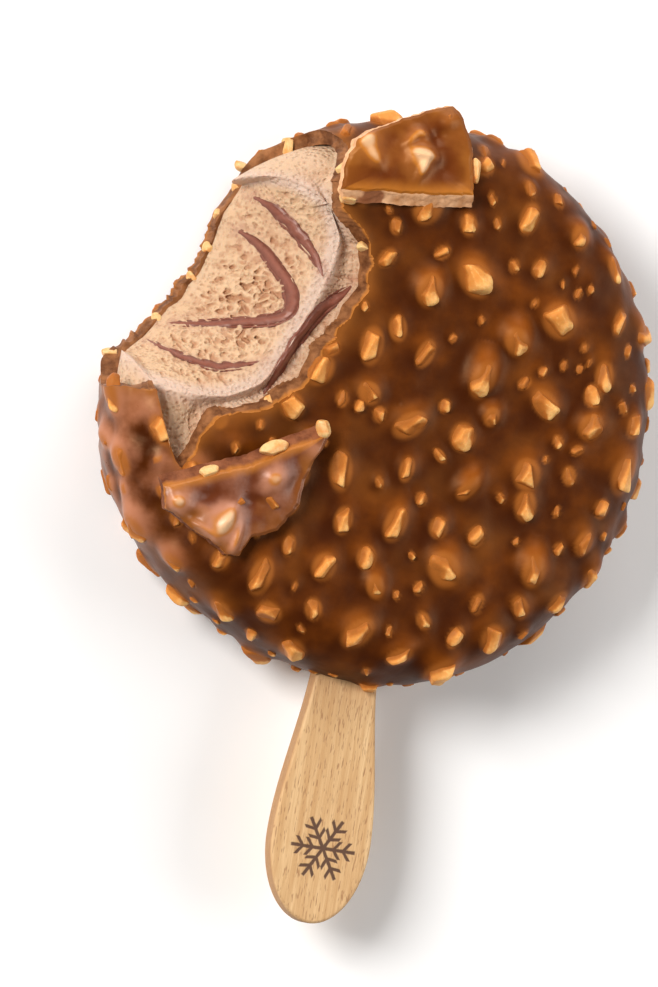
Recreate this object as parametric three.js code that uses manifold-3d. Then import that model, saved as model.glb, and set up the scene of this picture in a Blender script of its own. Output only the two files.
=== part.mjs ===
// A round ice cream bar on a flat wooden stick, lying on its back, with a bite taken out of its upper left
// side. Pale ice cream fills a shell of milk chocolate set with chopped hazelnuts. The bite shows the ice
// cream, four ripples of cocoa sauce in it and the broken edge of the shell, and two shards of shell lie on
// the front.
//
// Millimetres. +Z points out of the front face and the stick runs along -Y. The origin is the middle of the
// back face, in the plane that the bar rests on.

import * as THREE from "three";
import { mergeVertices } from "three/addons/utils/BufferGeometryUtils.js";
import Module from "manifold-3d";

const wasm = await Module();
wasm.setup();

// The bar: a thick round slab with a rounded rim, measured over the chocolate between the nuts.
const BAR_RADIUS = 38;
const BAR_WIDER = 1.018; // across the stick's axis, against along it
const RIM_ROUNDING = 8;
const RIM_SQUARENESS = 2.4; // 2 is an ellipse, and more is squarer
const BACK_Z = 0.9; // the nuts of the back reach down to 0
const FRONT_Z = 19.4;
const MIDDLE_Z = (BACK_Z + FRONT_Z) / 2;
const HALF_THICKNESS = (FRONT_Z - BACK_Z) / 2;
const FACE_CROWN = 0.035; // share of the half thickness that the front loses towards its rim
const OUTLINE_WAVES = [ // [waves round the bar, share of the radius, phase]
  [1, 0.0186, -1.44], [2, 0.0102, -2.63], [3, 0.0121, 2.96], [4, 0.0055, -2.36], [5, 0.0058, 0.74],
];

// Stations along the profile: 0 is the front's centre, and the others end the front, the rim and the back.
const FACE_END = 1;
const RIM_END = 2;
const PROFILE_END = 3;

const SHELL = 2;
const GAP = 0.3; // between pieces that touch
const OUTSIDE_RINGS = [64, 3, 8]; // steps round the bar, out over a face and over the rim
const INSIDE_RINGS = [40, 2, 5]; // the same for the shell's inside and the filling, so that they keep the gap

// The chopped nuts, drawn one after the other with the largest first.
const NUT_SEED = 20;
const NUT_COUNT = 440;
const NUTS_IN_SOLID = 142;
const NUT_LONG = 5.8;
const NUT_SHORT = 1.3;
const NUT_FALL = 1.7; // how fast the sizes fall off
const NUT_CHOICES = 7; // places tried for each nut, of which the freest is kept
const NUT_ROOM = 0.36; // of two nuts' lengths, the least distance between their centres
const NUT_TURN = THREE.MathUtils.degToRad(65); // most that a nut is turned away from the stick's axis
// Where a nut's facets look, in degrees from its long end, by how much that varies, how far they look up, and
// how far out they lie: from and to for both.
const NUT_FACETS = [
  [90, 25, 0.3, 0.75, 0.42, 0.66], [270, 25, 0.3, 0.75, 0.42, 0.66], [0, 40, -0.1, 0.6, 0.6, 0.85],
  [180, 40, -0.1, 0.6, 0.6, 0.85], [0, 180, 0.85, 1, 0.55, 0.8], [0, 180, -0.2, 0.3, 0.6, 0.9],
];
const REST_NUT = { length: 6.4, width: 5, height: 3.4, lift: 0.6 }; // under the origin, where the bar rests

// The bite is laid out round a point outside the rim. Its edges are pairs of an angle in degrees, where 0
// looks at the bar's centre and the angle rises towards the top, and a distance in millimetres.
const BITE_BEARING = THREE.MathUtils.degToRad(157); // from +X, seen from the bar's centre
const BITE_CENTRE = 40;
const FRONT_BREAK = [
  [-78, 22], [-66, 20.8], [-58, 20.4], [-55.5, 24], [-53, 28.8], [-51, 29.9], [-49, 29.1], [-45, 27.3],
  [-39, 25.2], [-28, 25.9], [-21, 27.1], [-6, 27.6], [1, 26.7], [6, 28.4], [16, 28.9], [22, 30.4], [33, 30],
  [36, 28.8], [44, 26.8], [52, 27.5], [59, 32], [78, 33],
];
const BACK_BREAK = [
  [-78, 15.5], [-69, 13.8], [-55, 12.1], [-45, 11.3], [-32, 10], [-19, 9.3], [-7, 9.7], [4, 9.5],
  [16, 10.4], [26, 10.9], [33, 11.5], [44, 12.7], [52, 14], [57, 16.1], [62, 18.4], [67, 20.4], [78, 22],
];
const FLOOR_LIP = [
  [-78, 11], [-62, 15], [-55, 18.1], [-43, 20.2], [-30, 22.5], [-18, 23.6], [-2, 23.2], [8, 23.1],
  [21, 24.3], [35, 26.1], [45, 25.6], [53, 23], [59, 20.6], [63, 18.3], [78, 12],
];
const BITE_SPAN = THREE.MathUtils.degToRad(78); // either side
const SHELL_BITE_STEPS = 66;
const FLOOR_STEPS = 33;
const BREAK_LEAN = 1.5; // from the outside of the front's broken edge to its inside
const BACK_BREAK_LEAN = 0.6;
const BREAK_JAG = 0.35;
const WALL_BREAK = { z: 8, share: 0.7 }; // share of the way from the back's edge to the front's
const FLOOR_FOOT = 0.9; // from the shell's back edge to the foot of the floor
const FLOOR_BULGE = 1.15; // power that bulges the floor
const LIP_DROP = { from: 0.73, to: 1.15, depth: 4 }; // radians over which the lip falls at the bite's ends
const GUTTER = 1.3; // depth of the gutter between the lip and the shell
const CUT_TOP = 45;
const CUT_BELOW = -6;

// The ripples of sauce: sheets that stand in the ice cream, each on its line at the bite's floor.
const RIPPLE_BOTTOM = 4.4;
const RIPPLE_STEPS = 9;
const RIPPLES = [
  { name: "ripple_upper", width: 1.2, line: [[-21.2, 25.5], [-17.9, 23], [-14.9, 19.8], [-12.2, 15.4]] },
  {
    name: "ripple_middle",
    width: 1.4,
    line: [[-21.9, 20.6], [-18.8, 17.8], [-16.1, 13], [-16.6, 9.7], [-20.9, 7.9], [-30, 6.5]],
  },
  { name: "ripple_lower", width: 1.1, line: [[-32.2, 4], [-27.6, 1.8], [-23.5, 1.4], [-18.7, 2.9]] },
  { name: "ripple_lip", width: 1.5, line: [[-8, 14.9], [-12, 10.7], [-15.4, 4.8], [-18.1, -1.4]] },
];

// The stick, beside the bar's middle line by its shift.
const STICK = { top: 5, end: -70.9, neck: 8.6, neckEnd: -34, widest: 14.2, widestAt: -59.5, shift: 1.35 };
const STICK_THICKNESS = 3.2;
const STICK_BEVEL = 0.35;
const STICK_STEPS = 9; // along the swelling, and again round the end

// Two broken pieces of shell: the corners of the outer face, and the plane that the underside lies in.
const SHARDS = [
  {
    name: "shard_top",
    middle: [-3.6, 33.5],
    corners: [
      [-13.5, 27.2], [-5, 28.2], [5.4, 29.6], [4.7, 35.6], [2.6, 40.2], [1.4, 41.3], [-2.5, 39.9],
      [-9.2, 36.3], [-11.9, 34.4], [-13.2, 30.2],
    ],
    under: 19.2, // height of the underside at the middle
    slope: [0, -0.17], // rise of the underside for each millimetre along X and Y
    breakTowards: [0.35, -0.94], // the side whose broken face shows
    humps: [[-10.4, 34, 1.1, 2.4], [-3, 33.8, 1.3, 2.4], [0.6, 39.2, 0.7, 1.3]], // [x, y, height, radius]
    nuts: [[-12, 27.6, 3], [5.2, 33, 3.4]], // [x, y, length]
  },
  {
    name: "shard_low",
    middle: [-20, -15],
    corners: [
      [-31.6, -16.3], [-30.7, -19], [-28, -20.6], [-24, -22.4], [-21.3, -23.7], [-19.5, -23.5], [-18.3, -21],
      [-14.6, -19.5], [-12.4, -15.5], [-11.6, -9.9], [-9.8, -5.3], [-20.6, -11.8],
    ],
    under: 20.6,
    slope: [-0.05, 0.11],
    breakTowards: [-0.46, 0.89],
    humps: [
      [-29.4, -17.9, 1, 1.9], [-16.6, -12.9, 1.1, 2.2], [-22.6, -19.7, 1.3, 2.8], [-12, -8.2, 0.5, 1.6],
    ],
    nuts: [[-25.6, -13.9, 2.8], [-17.2, -9.2, 3.8], [-11, -5.6, 2.6]],
  },
];
const SHARD_THICKNESS = 1.8;
const SHARD_BEVEL = 1.6; // how far the broken side leans out under the outer face
const SHARD_RINGS = [0.5, 0.85, 1];
const SHARD_STEP = 2; // length of one piece of a shard's outline
const SHARD_JAG = 0.3;

const COLOURS = {
  coating: { color: 0x6a3a1f, roughness: 0.35 },
  ice_cream: { color: 0xd8b48f, roughness: 0.85 },
  ripple: { color: 0x6e3b2c, roughness: 0.4 },
  stick: { color: 0xe0b985, roughness: 0.7 },
  shard: { color: 0x7c4728, roughness: 0.35 },
};

const TURN = 2 * Math.PI;
const mix = (a, b, share) => a + (b - a) * share;
const smooth = (share) => share * share * (3 - 2 * share);
const clamp01 = (value) => Math.min(1, Math.max(0, value));
const bell = (distance, width) => Math.exp(-((distance / width) ** 2));
const list = (count, make) => Array.from({ length: count }, (_, i) => make(i));

// Random numbers from 0 to 1 that are the same on every run: a linear congruential generator.
function randomDraws(seed) {
  let state = seed;
  return () => {
    state = (state * 1664525 + 1013904223) % 4294967296;
    return state / 4294967296;
  };
}

// A value from a list of [place, value] pairs, in straight lines between them.
function between(pairs, place) {
  const next = pairs.findIndex(([at]) => place <= at);
  if (next === 0) return pairs[0][1];
  if (next < 0) return pairs.at(-1)[1];
  const [[from, a], [to, b]] = [pairs[next - 1], pairs[next]];
  return mix(a, b, (place - from) / (to - from));
}

// A closed surface through rings of points, where the first and the last ring are one point each. The rings
// run counterclockwise seen from outside the first point.
function ringGeometry(rings) {
  const around = rings[1].length;
  const lastGap = rings.length - 2;
  const points = rings.flat();
  const at = (ring, j) => (ring === 0 ? 0 : Math.min(1 + (ring - 1) * around + j, points.length - 1));
  const index = [];
  for (let ring = 0; ring <= lastGap; ring++) {
    for (let j = 0; j < around; j++) {
      const next = (j + 1) % around;
      const isLast = ring === lastGap;
      const [a, d] = [at(ring, j), at(ring, next)];
      const [b, c] = isLast ? [points.length - 1, points.length - 1] : [at(ring + 1, j), at(ring + 1, next)];
      if (b !== c) index.push(a, b, c);
      if (a !== d) index.push(a, c, d);
    }
  }
  const geometry = new THREE.BufferGeometry();
  geometry.setAttribute("position", new THREE.Float32BufferAttribute(points.flat(), 3));
  return geometry.setIndex(index);
}

// A closed geometry as a solid that can be joined and cut, and back again.
function solidOf(geometry) {
  const bare = geometry.clone();
  bare.deleteAttribute("normal");
  bare.deleteAttribute("uv");
  const merged = mergeVertices(bare, 1e-4);
  return new wasm.Manifold(
    new wasm.Mesh({
      numProp: 3,
      vertProperties: merged.attributes.position.array,
      triVerts: new Uint32Array(merged.index.array),
    }),
  );
}

function geometryOf(solid) {
  const { vertProperties, triVerts } = solid.getMesh();
  const geometry = new THREE.BufferGeometry();
  geometry.setAttribute("position", new THREE.BufferAttribute(vertProperties, 3));
  return geometry.setIndex(new THREE.BufferAttribute(triVerts, 1));
}

// The largest body of a solid, without the loose scraps that a cut leaves.
function largestBody(solid) {
  return solid.decompose().reduce((best, body) => (body.volume() > best.volume() ? body : best));
}

// A point of the bar's surface at an angle round its middle and a station along its profile, moved in by an
// inset.
function barPoint(angle, station, inset = 0) {
  const radius = BAR_RADIUS - inset;
  const rounding = RIM_ROUNDING - inset;
  const half = HALF_THICKNESS - inset;
  const shoulder = radius - rounding;
  let out;
  let up;
  if (station <= FACE_END) [out, up] = [shoulder * station, half];
  else if (station >= RIM_END) [out, up] = [shoulder * (PROFILE_END - station), -half];
  else {
    const lean = Math.PI * (station - FACE_END); // 0 at the front shoulder, half a turn at the back one
    const power = 2 / RIM_SQUARENESS;
    out = shoulder + rounding * Math.sin(lean) ** power;
    up = half * Math.sign(Math.cos(lean)) * Math.abs(Math.cos(lean)) ** power;
  }
  const waves = OUTLINE_WAVES.reduce((sum, [n, high, phase]) => sum + high * Math.cos(n * angle + phase), 1);
  const crown = up > 0 ? 1 - FACE_CROWN * (out / radius) ** 2 : 1;
  return new THREE.Vector3(
    out * waves * BAR_WIDER * Math.cos(angle),
    out * waves * Math.sin(angle),
    MIDDLE_Z + up * crown,
  );
}

// The outward normal there, from two short steps along the surface.
function barNormal(angle, station) {
  const step = 1e-3;
  const along = barPoint(angle, station + step).sub(barPoint(angle, station - step));
  const round = barPoint(angle + step, station).sub(barPoint(angle - step, station));
  return along.cross(round).normalize();
}

// Height of the bar's front over a place, which falls to the middle of the rim outside it.
function frontHeight(x, y, inset) {
  const radius = BAR_RADIUS - inset;
  const rounding = RIM_ROUNDING - inset;
  const half = HALF_THICKNESS - inset;
  const out = Math.hypot(x / BAR_WIDER, y);
  const overShoulder = clamp01((out - radius + rounding) / rounding);
  const crown = 1 - FACE_CROWN * (out / radius) ** 2;
  return MIDDLE_Z + half * crown * (1 - overShoulder ** RIM_SQUARENESS) ** (1 / RIM_SQUARENESS);
}

function barSolid(inset, [around, faceRings, rimRings]) {
  const stations = [
    ...list(faceRings, (i) => (FACE_END * (i + 1)) / faceRings),
    ...list(rimRings - 1, (i) => mix(FACE_END, RIM_END, (i + 1) / rimRings)),
    ...list(faceRings, (i) => mix(RIM_END, PROFILE_END, i / faceRings)),
  ];
  const ring = (station) => list(around, (j) => barPoint((TURN * j) / around, station, inset).toArray());
  const pole = (station) => [barPoint(0, station, inset).toArray()];
  return solidOf(ringGeometry([pole(0), ...stations.map(ring), pole(PROFILE_END)]));
}

// A place seen from the bite's centre, at an angle and a distance, in the bar's own X and Y.
function fromBite(angle, distance) {
  const out = BITE_CENTRE - distance * Math.cos(angle);
  const along = distance * Math.sin(angle);
  return [
    out * Math.cos(BITE_BEARING) + along * Math.sin(BITE_BEARING),
    out * Math.sin(BITE_BEARING) - along * Math.cos(BITE_BEARING),
  ];
}

function biteEdges(angle) {
  const degrees = THREE.MathUtils.radToDeg(angle);
  const [front, back, lip] = [FRONT_BREAK, BACK_BREAK, FLOOR_LIP].map((edge) => between(edge, degrees));
  return { front, back, lip, foot: Math.min(back + FLOOR_FOOT, lip - 1.5) };
}

// A cutter as rings round the bite's centre, each given as a function from an angle and the edges there to a
// distance and a height. Outside the bite's span, away from the bar, the rings close in a plain curve.
function biteCutter(steps, ringsOfPlaces) {
  const outside = 8;
  const angles = [
    ...list(steps, (j) => mix(-BITE_SPAN, BITE_SPAN, j / (steps - 1))),
    ...list(outside, (j) => mix(BITE_SPAN, TURN - BITE_SPAN, (j + 1) / (outside + 1))),
  ];
  const ring = (place) =>
    angles.map((angle, j) => {
      const seen = j < steps ? angle : mix(BITE_SPAN, -BITE_SPAN, (j - steps + 1) / (outside + 1));
      const [distance, height] = place(seen, biteEdges(seen), j % steps);
      return [...fromBite(angle, distance), height];
    });
  const pole = (height) => [[...fromBite(0, 0), height]];
  return solidOf(ringGeometry([pole(CUT_TOP), ...ringsOfPlaces.map(ring), pole(CUT_BELOW)]));
}

// What broke off the shell: straight down through the front with a leaning, jagged face, then through the
// wall of the rim towards the edge of the back.
function shellBite() {
  const draw = randomDraws(SHELL_BITE_STEPS);
  const jag = list(SHELL_BITE_STEPS * 3, () => BREAK_JAG * (2 * draw() - 1));
  const jagOf = (which, j) => jag[which * SHELL_BITE_STEPS + j];
  return biteCutter(SHELL_BITE_STEPS, [
    (_, { front }, j) => [front + jagOf(0, j), CUT_TOP],
    (_, { front }, j) => [front + jagOf(0, j), FRONT_Z + 1.6],
    (_, { front }, j) => [front + jagOf(0, j), FRONT_Z - 0.1],
    (_, { front }, j) => [front - BREAK_LEAN / 2 + jagOf(1, j), FRONT_Z - SHELL / 2],
    (_, { front }, j) => [front - BREAK_LEAN + jagOf(0, j) / 2, FRONT_Z - SHELL - GAP],
    (_, { front, back }, j) => [mix(back, front, WALL_BREAK.share) + jagOf(1, j), WALL_BREAK.z],
    (_, { back }, j) => [back + BACK_BREAK_LEAN + jagOf(2, j) / 2, BACK_Z + SHELL + 0.2],
    (_, { back }, j) => [back + jagOf(2, j), BACK_Z],
    (_, { back }, j) => [back - BACK_BREAK_LEAN + jagOf(2, j), BACK_Z - 2],
    (_, { back }) => [back / 2, CUT_BELOW],
  ]);
}

// What was bitten out of the ice cream. Its floor runs from a lip under the front down to the shell's back,
// and a gutter lies between the lip and the broken edge of the shell, but not where the lip crosses the rim.
function floorBite() {
  const inset = SHELL + GAP;
  const coreHeight = (angle, distance) => frontHeight(...fromBite(angle, distance), inset);
  const band = (share, depth) => (angle, { front, lip }) => {
    const distance = mix(front - BREAK_LEAN, lip, share);
    const out = Math.hypot(...fromBite(angle, distance));
    const onFace = smooth(clamp01((BAR_RADIUS - 3 - out) / 5));
    return [distance, coreHeight(angle, distance) + mix(1, -depth, onFace)];
  };
  const floor = (share) => (angle, { lip, foot }) => {
    const distance = mix(lip, foot, share);
    const atEnd = smooth(clamp01((Math.abs(angle) - LIP_DROP.from) / (LIP_DROP.to - LIP_DROP.from)));
    const top = coreHeight(angle, lip) - 0.1 - LIP_DROP.depth * atEnd;
    return [distance, mix(top, BACK_Z + inset, share ** FLOOR_BULGE)];
  };
  return biteCutter(FLOOR_STEPS, [
    (_, { front }) => [front, CUT_TOP],
    (_, { front }) => [front, FRONT_Z],
    band(0, GUTTER * 0.8),
    band(0.25, GUTTER),
    band(0.85, -0.3),
    ...[0, 0.08, 0.24, 0.45, 0.7, 1].map(floor),
    (_, { foot }) => [foot - BACK_BREAK_LEAN, BACK_Z],
    (_, { foot }) => [foot / 2, CUT_BELOW],
  ]);
}

// Where the nuts lie: each takes the freest of a few random places on the bar, the same on every run.
function nutPlaces() {
  const draw = randomDraws(NUT_SEED);
  const places = [];
  for (let rank = 0; rank < NUT_COUNT; rank++) {
    const length = mix(NUT_SHORT, NUT_LONG, (1 - rank / NUT_COUNT) ** NUT_FALL);
    let best = { room: -Infinity };
    for (let choice = 0; choice < NUT_CHOICES; ) {
      const angle = TURN * draw();
      const station = PROFILE_END * draw();
      const point = barPoint(angle, station);
      if (draw() > Math.hypot(point.x, point.y) / BAR_RADIUS) continue; // or they would crowd in the middle
      choice++;
      const room = places.reduce(
        (least, other) => Math.min(least, point.distanceTo(other.point) - NUT_ROOM * (length + other.length)),
        Infinity,
      );
      if (room > best.room) best = { room, angle, station, point };
    }
    const turn = NUT_TURN * (draw() - draw());
    const width = length * mix(0.55, 0.9, draw());
    const height = width * mix(0.7, 0.95, draw());
    const lift = height * mix(0.04, 0.2, draw());
    if (best.room > 0) places.push({ ...best, rank, turn, length, width, height, lift });
  }
  return places;
}

// A chip of nut: an icosahedron cut back to facets, two of which meet in a ridge, laid along the surface and
// half sunk in it.
function nutSolid({ rank, point, normal, turn, length, width, height, lift }) {
  const draw = randomDraws(NUT_SEED + 7919 * (rank + 1));
  const facets = NUT_FACETS.map(([middle, spread, low, high, near, far]) => {
    const round = THREE.MathUtils.degToRad(middle + spread * (2 * draw() - 1));
    const up = mix(low, high, draw());
    const level = Math.sqrt(1 - up * up);
    const facing = new THREE.Vector3(level * Math.cos(round), level * Math.sin(round), up);
    return { facing, distance: mix(near, far, draw()) };
  });
  const axis = new THREE.Vector3(0, 1, 0).projectOnPlane(normal);
  if (axis.length() < 0.3) axis.set(1, 0, 0).projectOnPlane(normal);
  axis.normalize().applyAxisAngle(normal, turn);
  const across = new THREE.Vector3().crossVectors(normal, axis);
  const place = new THREE.Matrix4()
    .makeBasis(axis, across, normal)
    .setPosition(point.clone().addScaledVector(normal, lift));
  const geometry = new THREE.IcosahedronGeometry(1, 0);
  const position = geometry.attributes.position;
  const size = new THREE.Vector3(length, width, height).divideScalar(2);
  for (let i = 0; i < position.count; i++) {
    const corner = new THREE.Vector3().fromBufferAttribute(position, i);
    const reach = facets.reduce((least, { facing, distance }) => {
      const lean = corner.dot(facing);
      return lean > 0.05 ? Math.min(least, distance / lean) : least;
    }, 1);
    corner.multiplyScalar(reach).multiply(size).applyMatrix4(place);
    position.setXYZ(i, corner.x, corner.y, corner.z);
  }
  return solidOf(geometry);
}

// Half the stick's width at a place along it: even at the neck, swelling to the widest, then half an ellipse.
function stickHalfWidth(y) {
  const swell = smooth(clamp01((STICK.neckEnd - y) / (STICK.neckEnd - STICK.widestAt)));
  const inCap = clamp01((STICK.widestAt - y) / (STICK.widestAt - STICK.end));
  return (mix(STICK.neck, STICK.widest, swell) / 2) * Math.sqrt(1 - inCap ** 2);
}

function stickSolid(grow) {
  const bevel = grow > 0 ? 0 : STICK_BEVEL;
  const out = grow - bevel;
  const half = STICK.neck / 2 + out;
  const side = list(STICK_STEPS, (i) => mix(STICK.neckEnd, STICK.widestAt, i / STICK_STEPS));
  const round = list(STICK_STEPS, (i) => Math.sin((TURN / 4) * (i / STICK_STEPS)));
  const cap = round.map((share) => mix(STICK.widestAt, STICK.end, share));
  const right = [...side, ...cap].map((y) => new THREE.Vector2(stickHalfWidth(y) + out, y));
  const left = right.map(({ x, y }) => new THREE.Vector2(-x, y)).reverse();
  const head = list(7, (i) => {
    const lean = (TURN / 2) * (1 - i / 6);
    return new THREE.Vector2(half * Math.cos(lean), STICK.top - STICK.neck / 2 + half * Math.sin(lean));
  });
  const outline = new THREE.Shape([...right, new THREE.Vector2(0, STICK.end - out), ...left, ...head]);
  const thickness = STICK_THICKNESS + 2 * grow;
  return solidOf(
    new THREE.ExtrudeGeometry(outline, {
      depth: thickness - 2 * bevel,
      bevelEnabled: bevel > 0,
      bevelThickness: bevel,
      bevelSize: bevel,
      bevelSegments: 1,
    }).translate(STICK.shift, 0, MIDDLE_Z - thickness / 2 + bevel),
  );
}

// A ripple of sauce, pointed at both ends and reaching up out of the bar, before the bite cuts its top.
function rippleSolid({ line, width }, grow) {
  const curve = new THREE.CatmullRomCurve3(line.map(([x, y]) => new THREE.Vector3(x, y, 0)));
  const side = (sign) =>
    list(RIPPLE_STEPS + 1, (i) => {
      const share = i / RIPPLE_STEPS;
      const ahead = curve.getTangentAt(share);
      const half = (width / 2) * Math.sqrt(Math.sin(Math.PI * mix(0.04, 0.96, share))) + grow;
      const point = curve.getPointAt(share).addScaledVector(ahead, grow * (2 * share - 1));
      return new THREE.Vector2(point.x - sign * ahead.y * half, point.y + sign * ahead.x * half);
    });
  const outline = new THREE.Shape([...side(1), ...side(-1).reverse()]);
  const bottom = RIPPLE_BOTTOM - grow;
  return solidOf(
    new THREE.ExtrudeGeometry(outline, { depth: CUT_TOP - 1 - bottom, bevelEnabled: false }).translate(
      0, 0, bottom,
    ),
  );
}

// A broken piece of shell: rings from the middle of its outer face out to its jagged outline and back under
// it.
function shardSolid({ middle, corners, under, slope, breakTowards, humps, nuts }, grow) {
  const draw = randomDraws(corners.length);
  const outline = corners.flatMap(([x, y], i) => {
    const [nextX, nextY] = corners[(i + 1) % corners.length];
    const pieces = Math.max(1, Math.round(Math.hypot(nextX - x, nextY - y) / SHARD_STEP));
    return list(pieces, (j) => [
      mix(x, nextX, j / pieces) + SHARD_JAG * (draw() - 0.5),
      mix(y, nextY, j / pieces) + SHARD_JAG * (draw() - 0.5),
    ]);
  });
  const underside = (x, y) => under + slope[0] * (x - middle[0]) + slope[1] * (y - middle[1]) - grow;
  const outside = (x, y) => {
    const hump = humps.reduce((sum, [hx, hy, high, wide]) => {
      return sum + high * bell(Math.hypot(x - hx, y - hy), wide);
    }, 0);
    return underside(x, y) + SHARD_THICKNESS + 2 * grow + hump;
  };
  const ring = (share, isOuter) =>
    outline.map(([x, y], i) => {
      const away = new THREE.Vector2(x - middle[0], y - middle[1]);
      const [beforeX, beforeY] = outline.at(i - 1);
      const [afterX, afterY] = outline[(i + 1) % outline.length];
      const outward = new THREE.Vector2(afterY - beforeY, beforeX - afterX).normalize();
      const facing = smooth(clamp01((outward.dot(new THREE.Vector2(...breakTowards)) - 0.15) / 0.7));
      const reach = share * (1 + grow / away.length());
      const lean = isOuter ? 0 : share * SHARD_BEVEL * facing;
      const px = middle[0] + away.x * reach + breakTowards[0] * lean;
      const py = middle[1] + away.y * reach + breakTowards[1] * lean;
      return [px, py, isOuter ? outside(px, py) : underside(px, py)];
    });
  const slab = ringGeometry([
    [[...middle, outside(...middle)]],
    ...SHARD_RINGS.map((share) => ring(share, true)),
    ...SHARD_RINGS.toReversed().map((share) => ring(share, false)),
    [[...middle, underside(...middle)]],
  ]);
  const chips = nuts.map(([x, y, length], i) =>
    nutSolid({
      rank: NUT_COUNT + i, length, width: 0.7 * length, height: 0.6 * length, turn: i, lift: -0.5,
      point: new THREE.Vector3(x, y, outside(x, y)), normal: new THREE.Vector3(0, 0, 1),
    }),
  );
  return wasm.Manifold.union([solidOf(slab), ...(grow > 0 ? [] : chips)]);
}

// The nuts that are large enough to be in the solid, and the one that the bar rests on.
function nutsOnBar() {
  const shown = nutPlaces()
    .filter(({ rank }) => rank < NUTS_IN_SOLID)
    .map((place) => nutSolid({ ...place, normal: barNormal(place.angle, place.station) }));
  const restNut = nutSolid({
    ...REST_NUT, rank: NUT_COUNT, point: new THREE.Vector3(0, 0, BACK_Z), normal: new THREE.Vector3(0, 0, -1),
    turn: 0,
  });
  return [...shown, restNut];
}

function piece(name, solid, { color, roughness }) {
  const material = new THREE.MeshStandardMaterial({ color, roughness, metalness: 0 });
  const mesh = new THREE.Mesh(geometryOf(solid), material);
  mesh.name = name;
  return mesh;
}

const stickRoom = stickSolid(GAP);
const tableTop = solidOf(new THREE.BoxGeometry(200, 200, 20).translate(0, 0, -10));

const filling = barSolid(SHELL + GAP, INSIDE_RINGS).subtract(floorBite());
const ripples = RIPPLES.map((ripple) => ({
  name: ripple.name,
  solid: largestBody(rippleSolid(ripple, 0).intersect(filling)),
  room: rippleSolid(ripple, GAP),
}));

let coating = wasm.Manifold.union([barSolid(0, OUTSIDE_RINGS), ...nutsOnBar()])
  .subtract(barSolid(SHELL, INSIDE_RINGS))
  .subtract(shellBite())
  .subtract(stickRoom)
  .subtract(tableTop);
for (const shard of SHARDS) coating = coating.subtract(shardSolid(shard, GAP)); // trims the nuts it lies on

let iceCream = filling.subtract(stickRoom);
for (const { room } of ripples) iceCream = iceCream.subtract(room);

const bar = new THREE.Group();
bar.add(piece("coating", largestBody(coating), COLOURS.coating));
bar.add(piece("ice_cream", largestBody(iceCream), COLOURS.ice_cream));
for (const { name, solid } of ripples) bar.add(piece(name, solid, COLOURS.ripple));
for (const shard of SHARDS) bar.add(piece(shard.name, shardSolid(shard, 0), COLOURS.shard));
bar.add(piece("stick", stickSolid(0), COLOURS.stick));

export default bar;
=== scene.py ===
"""A round ice cream bar on a flat wooden stick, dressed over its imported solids.

Lengths inside this file are millimetres until a mesh is made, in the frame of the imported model: +Z points out
of the bar's front face and the stick runs along -Y. The last number of each call of noise is its seed.
"""

import functools
import math

import bmesh
import bpy
import numpy as np
from mathutils import Matrix, Vector


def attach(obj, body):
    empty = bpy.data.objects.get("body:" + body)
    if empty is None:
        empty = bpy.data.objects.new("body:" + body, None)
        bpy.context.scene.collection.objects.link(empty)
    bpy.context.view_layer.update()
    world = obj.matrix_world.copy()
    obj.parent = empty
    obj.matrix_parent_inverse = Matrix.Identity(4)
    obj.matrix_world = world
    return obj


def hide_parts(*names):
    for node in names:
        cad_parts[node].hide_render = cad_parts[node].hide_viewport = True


bl_info = {
    "name": "Ice cream bar on a stick",
    "version": (1, 0, 0),
    "blender": (4, 5, 0),
    "location": "3D View > Sidebar > Ice cream bar",
    "description": "Dresses the packed solids of a bitten ice cream bar with fine surfaces and finishes",
    "category": "Object",
}

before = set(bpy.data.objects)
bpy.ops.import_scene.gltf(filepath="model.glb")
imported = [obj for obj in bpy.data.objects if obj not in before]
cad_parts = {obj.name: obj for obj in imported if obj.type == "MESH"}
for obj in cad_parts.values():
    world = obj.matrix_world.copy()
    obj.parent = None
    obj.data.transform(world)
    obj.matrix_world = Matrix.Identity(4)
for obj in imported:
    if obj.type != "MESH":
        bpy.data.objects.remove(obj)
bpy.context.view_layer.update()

MM = 0.001
TURN = 2 * math.pi

# The bar's own sizes, as its solids have them.
BAR_RADIUS = 38.0
BAR_WIDER = 1.018
RIM_ROUNDING = 8.0
RIM_SQUARENESS = 2.4
BACK_Z = 0.9
FRONT_Z = 19.4
MIDDLE_Z = (BACK_Z + FRONT_Z) / 2
HALF_THICKNESS = (FRONT_Z - BACK_Z) / 2
FACE_CROWN = 0.035
OUTLINE_WAVES = (  # waves round the bar, share of the radius, phase
    (1, 0.0186, -1.44), (2, 0.0102, -2.63), (3, 0.0121, 2.96), (4, 0.0055, -2.36), (5, 0.0058, 0.74),
)
FACE_END, RIM_END, PROFILE_END = 1.0, 2.0, 3.0  # stations from the front's middle to the back's
# Rings on the front, the rim and the back, and points round.
COAT_GRID, CORE_GRID, CREAM_GRID = (76, 62, 30, 500), (8, 22, 8, 160), (14, 44, 8, 260)
SHELL = 2.0  # thickness of the chocolate
GAP = 0.3

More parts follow.
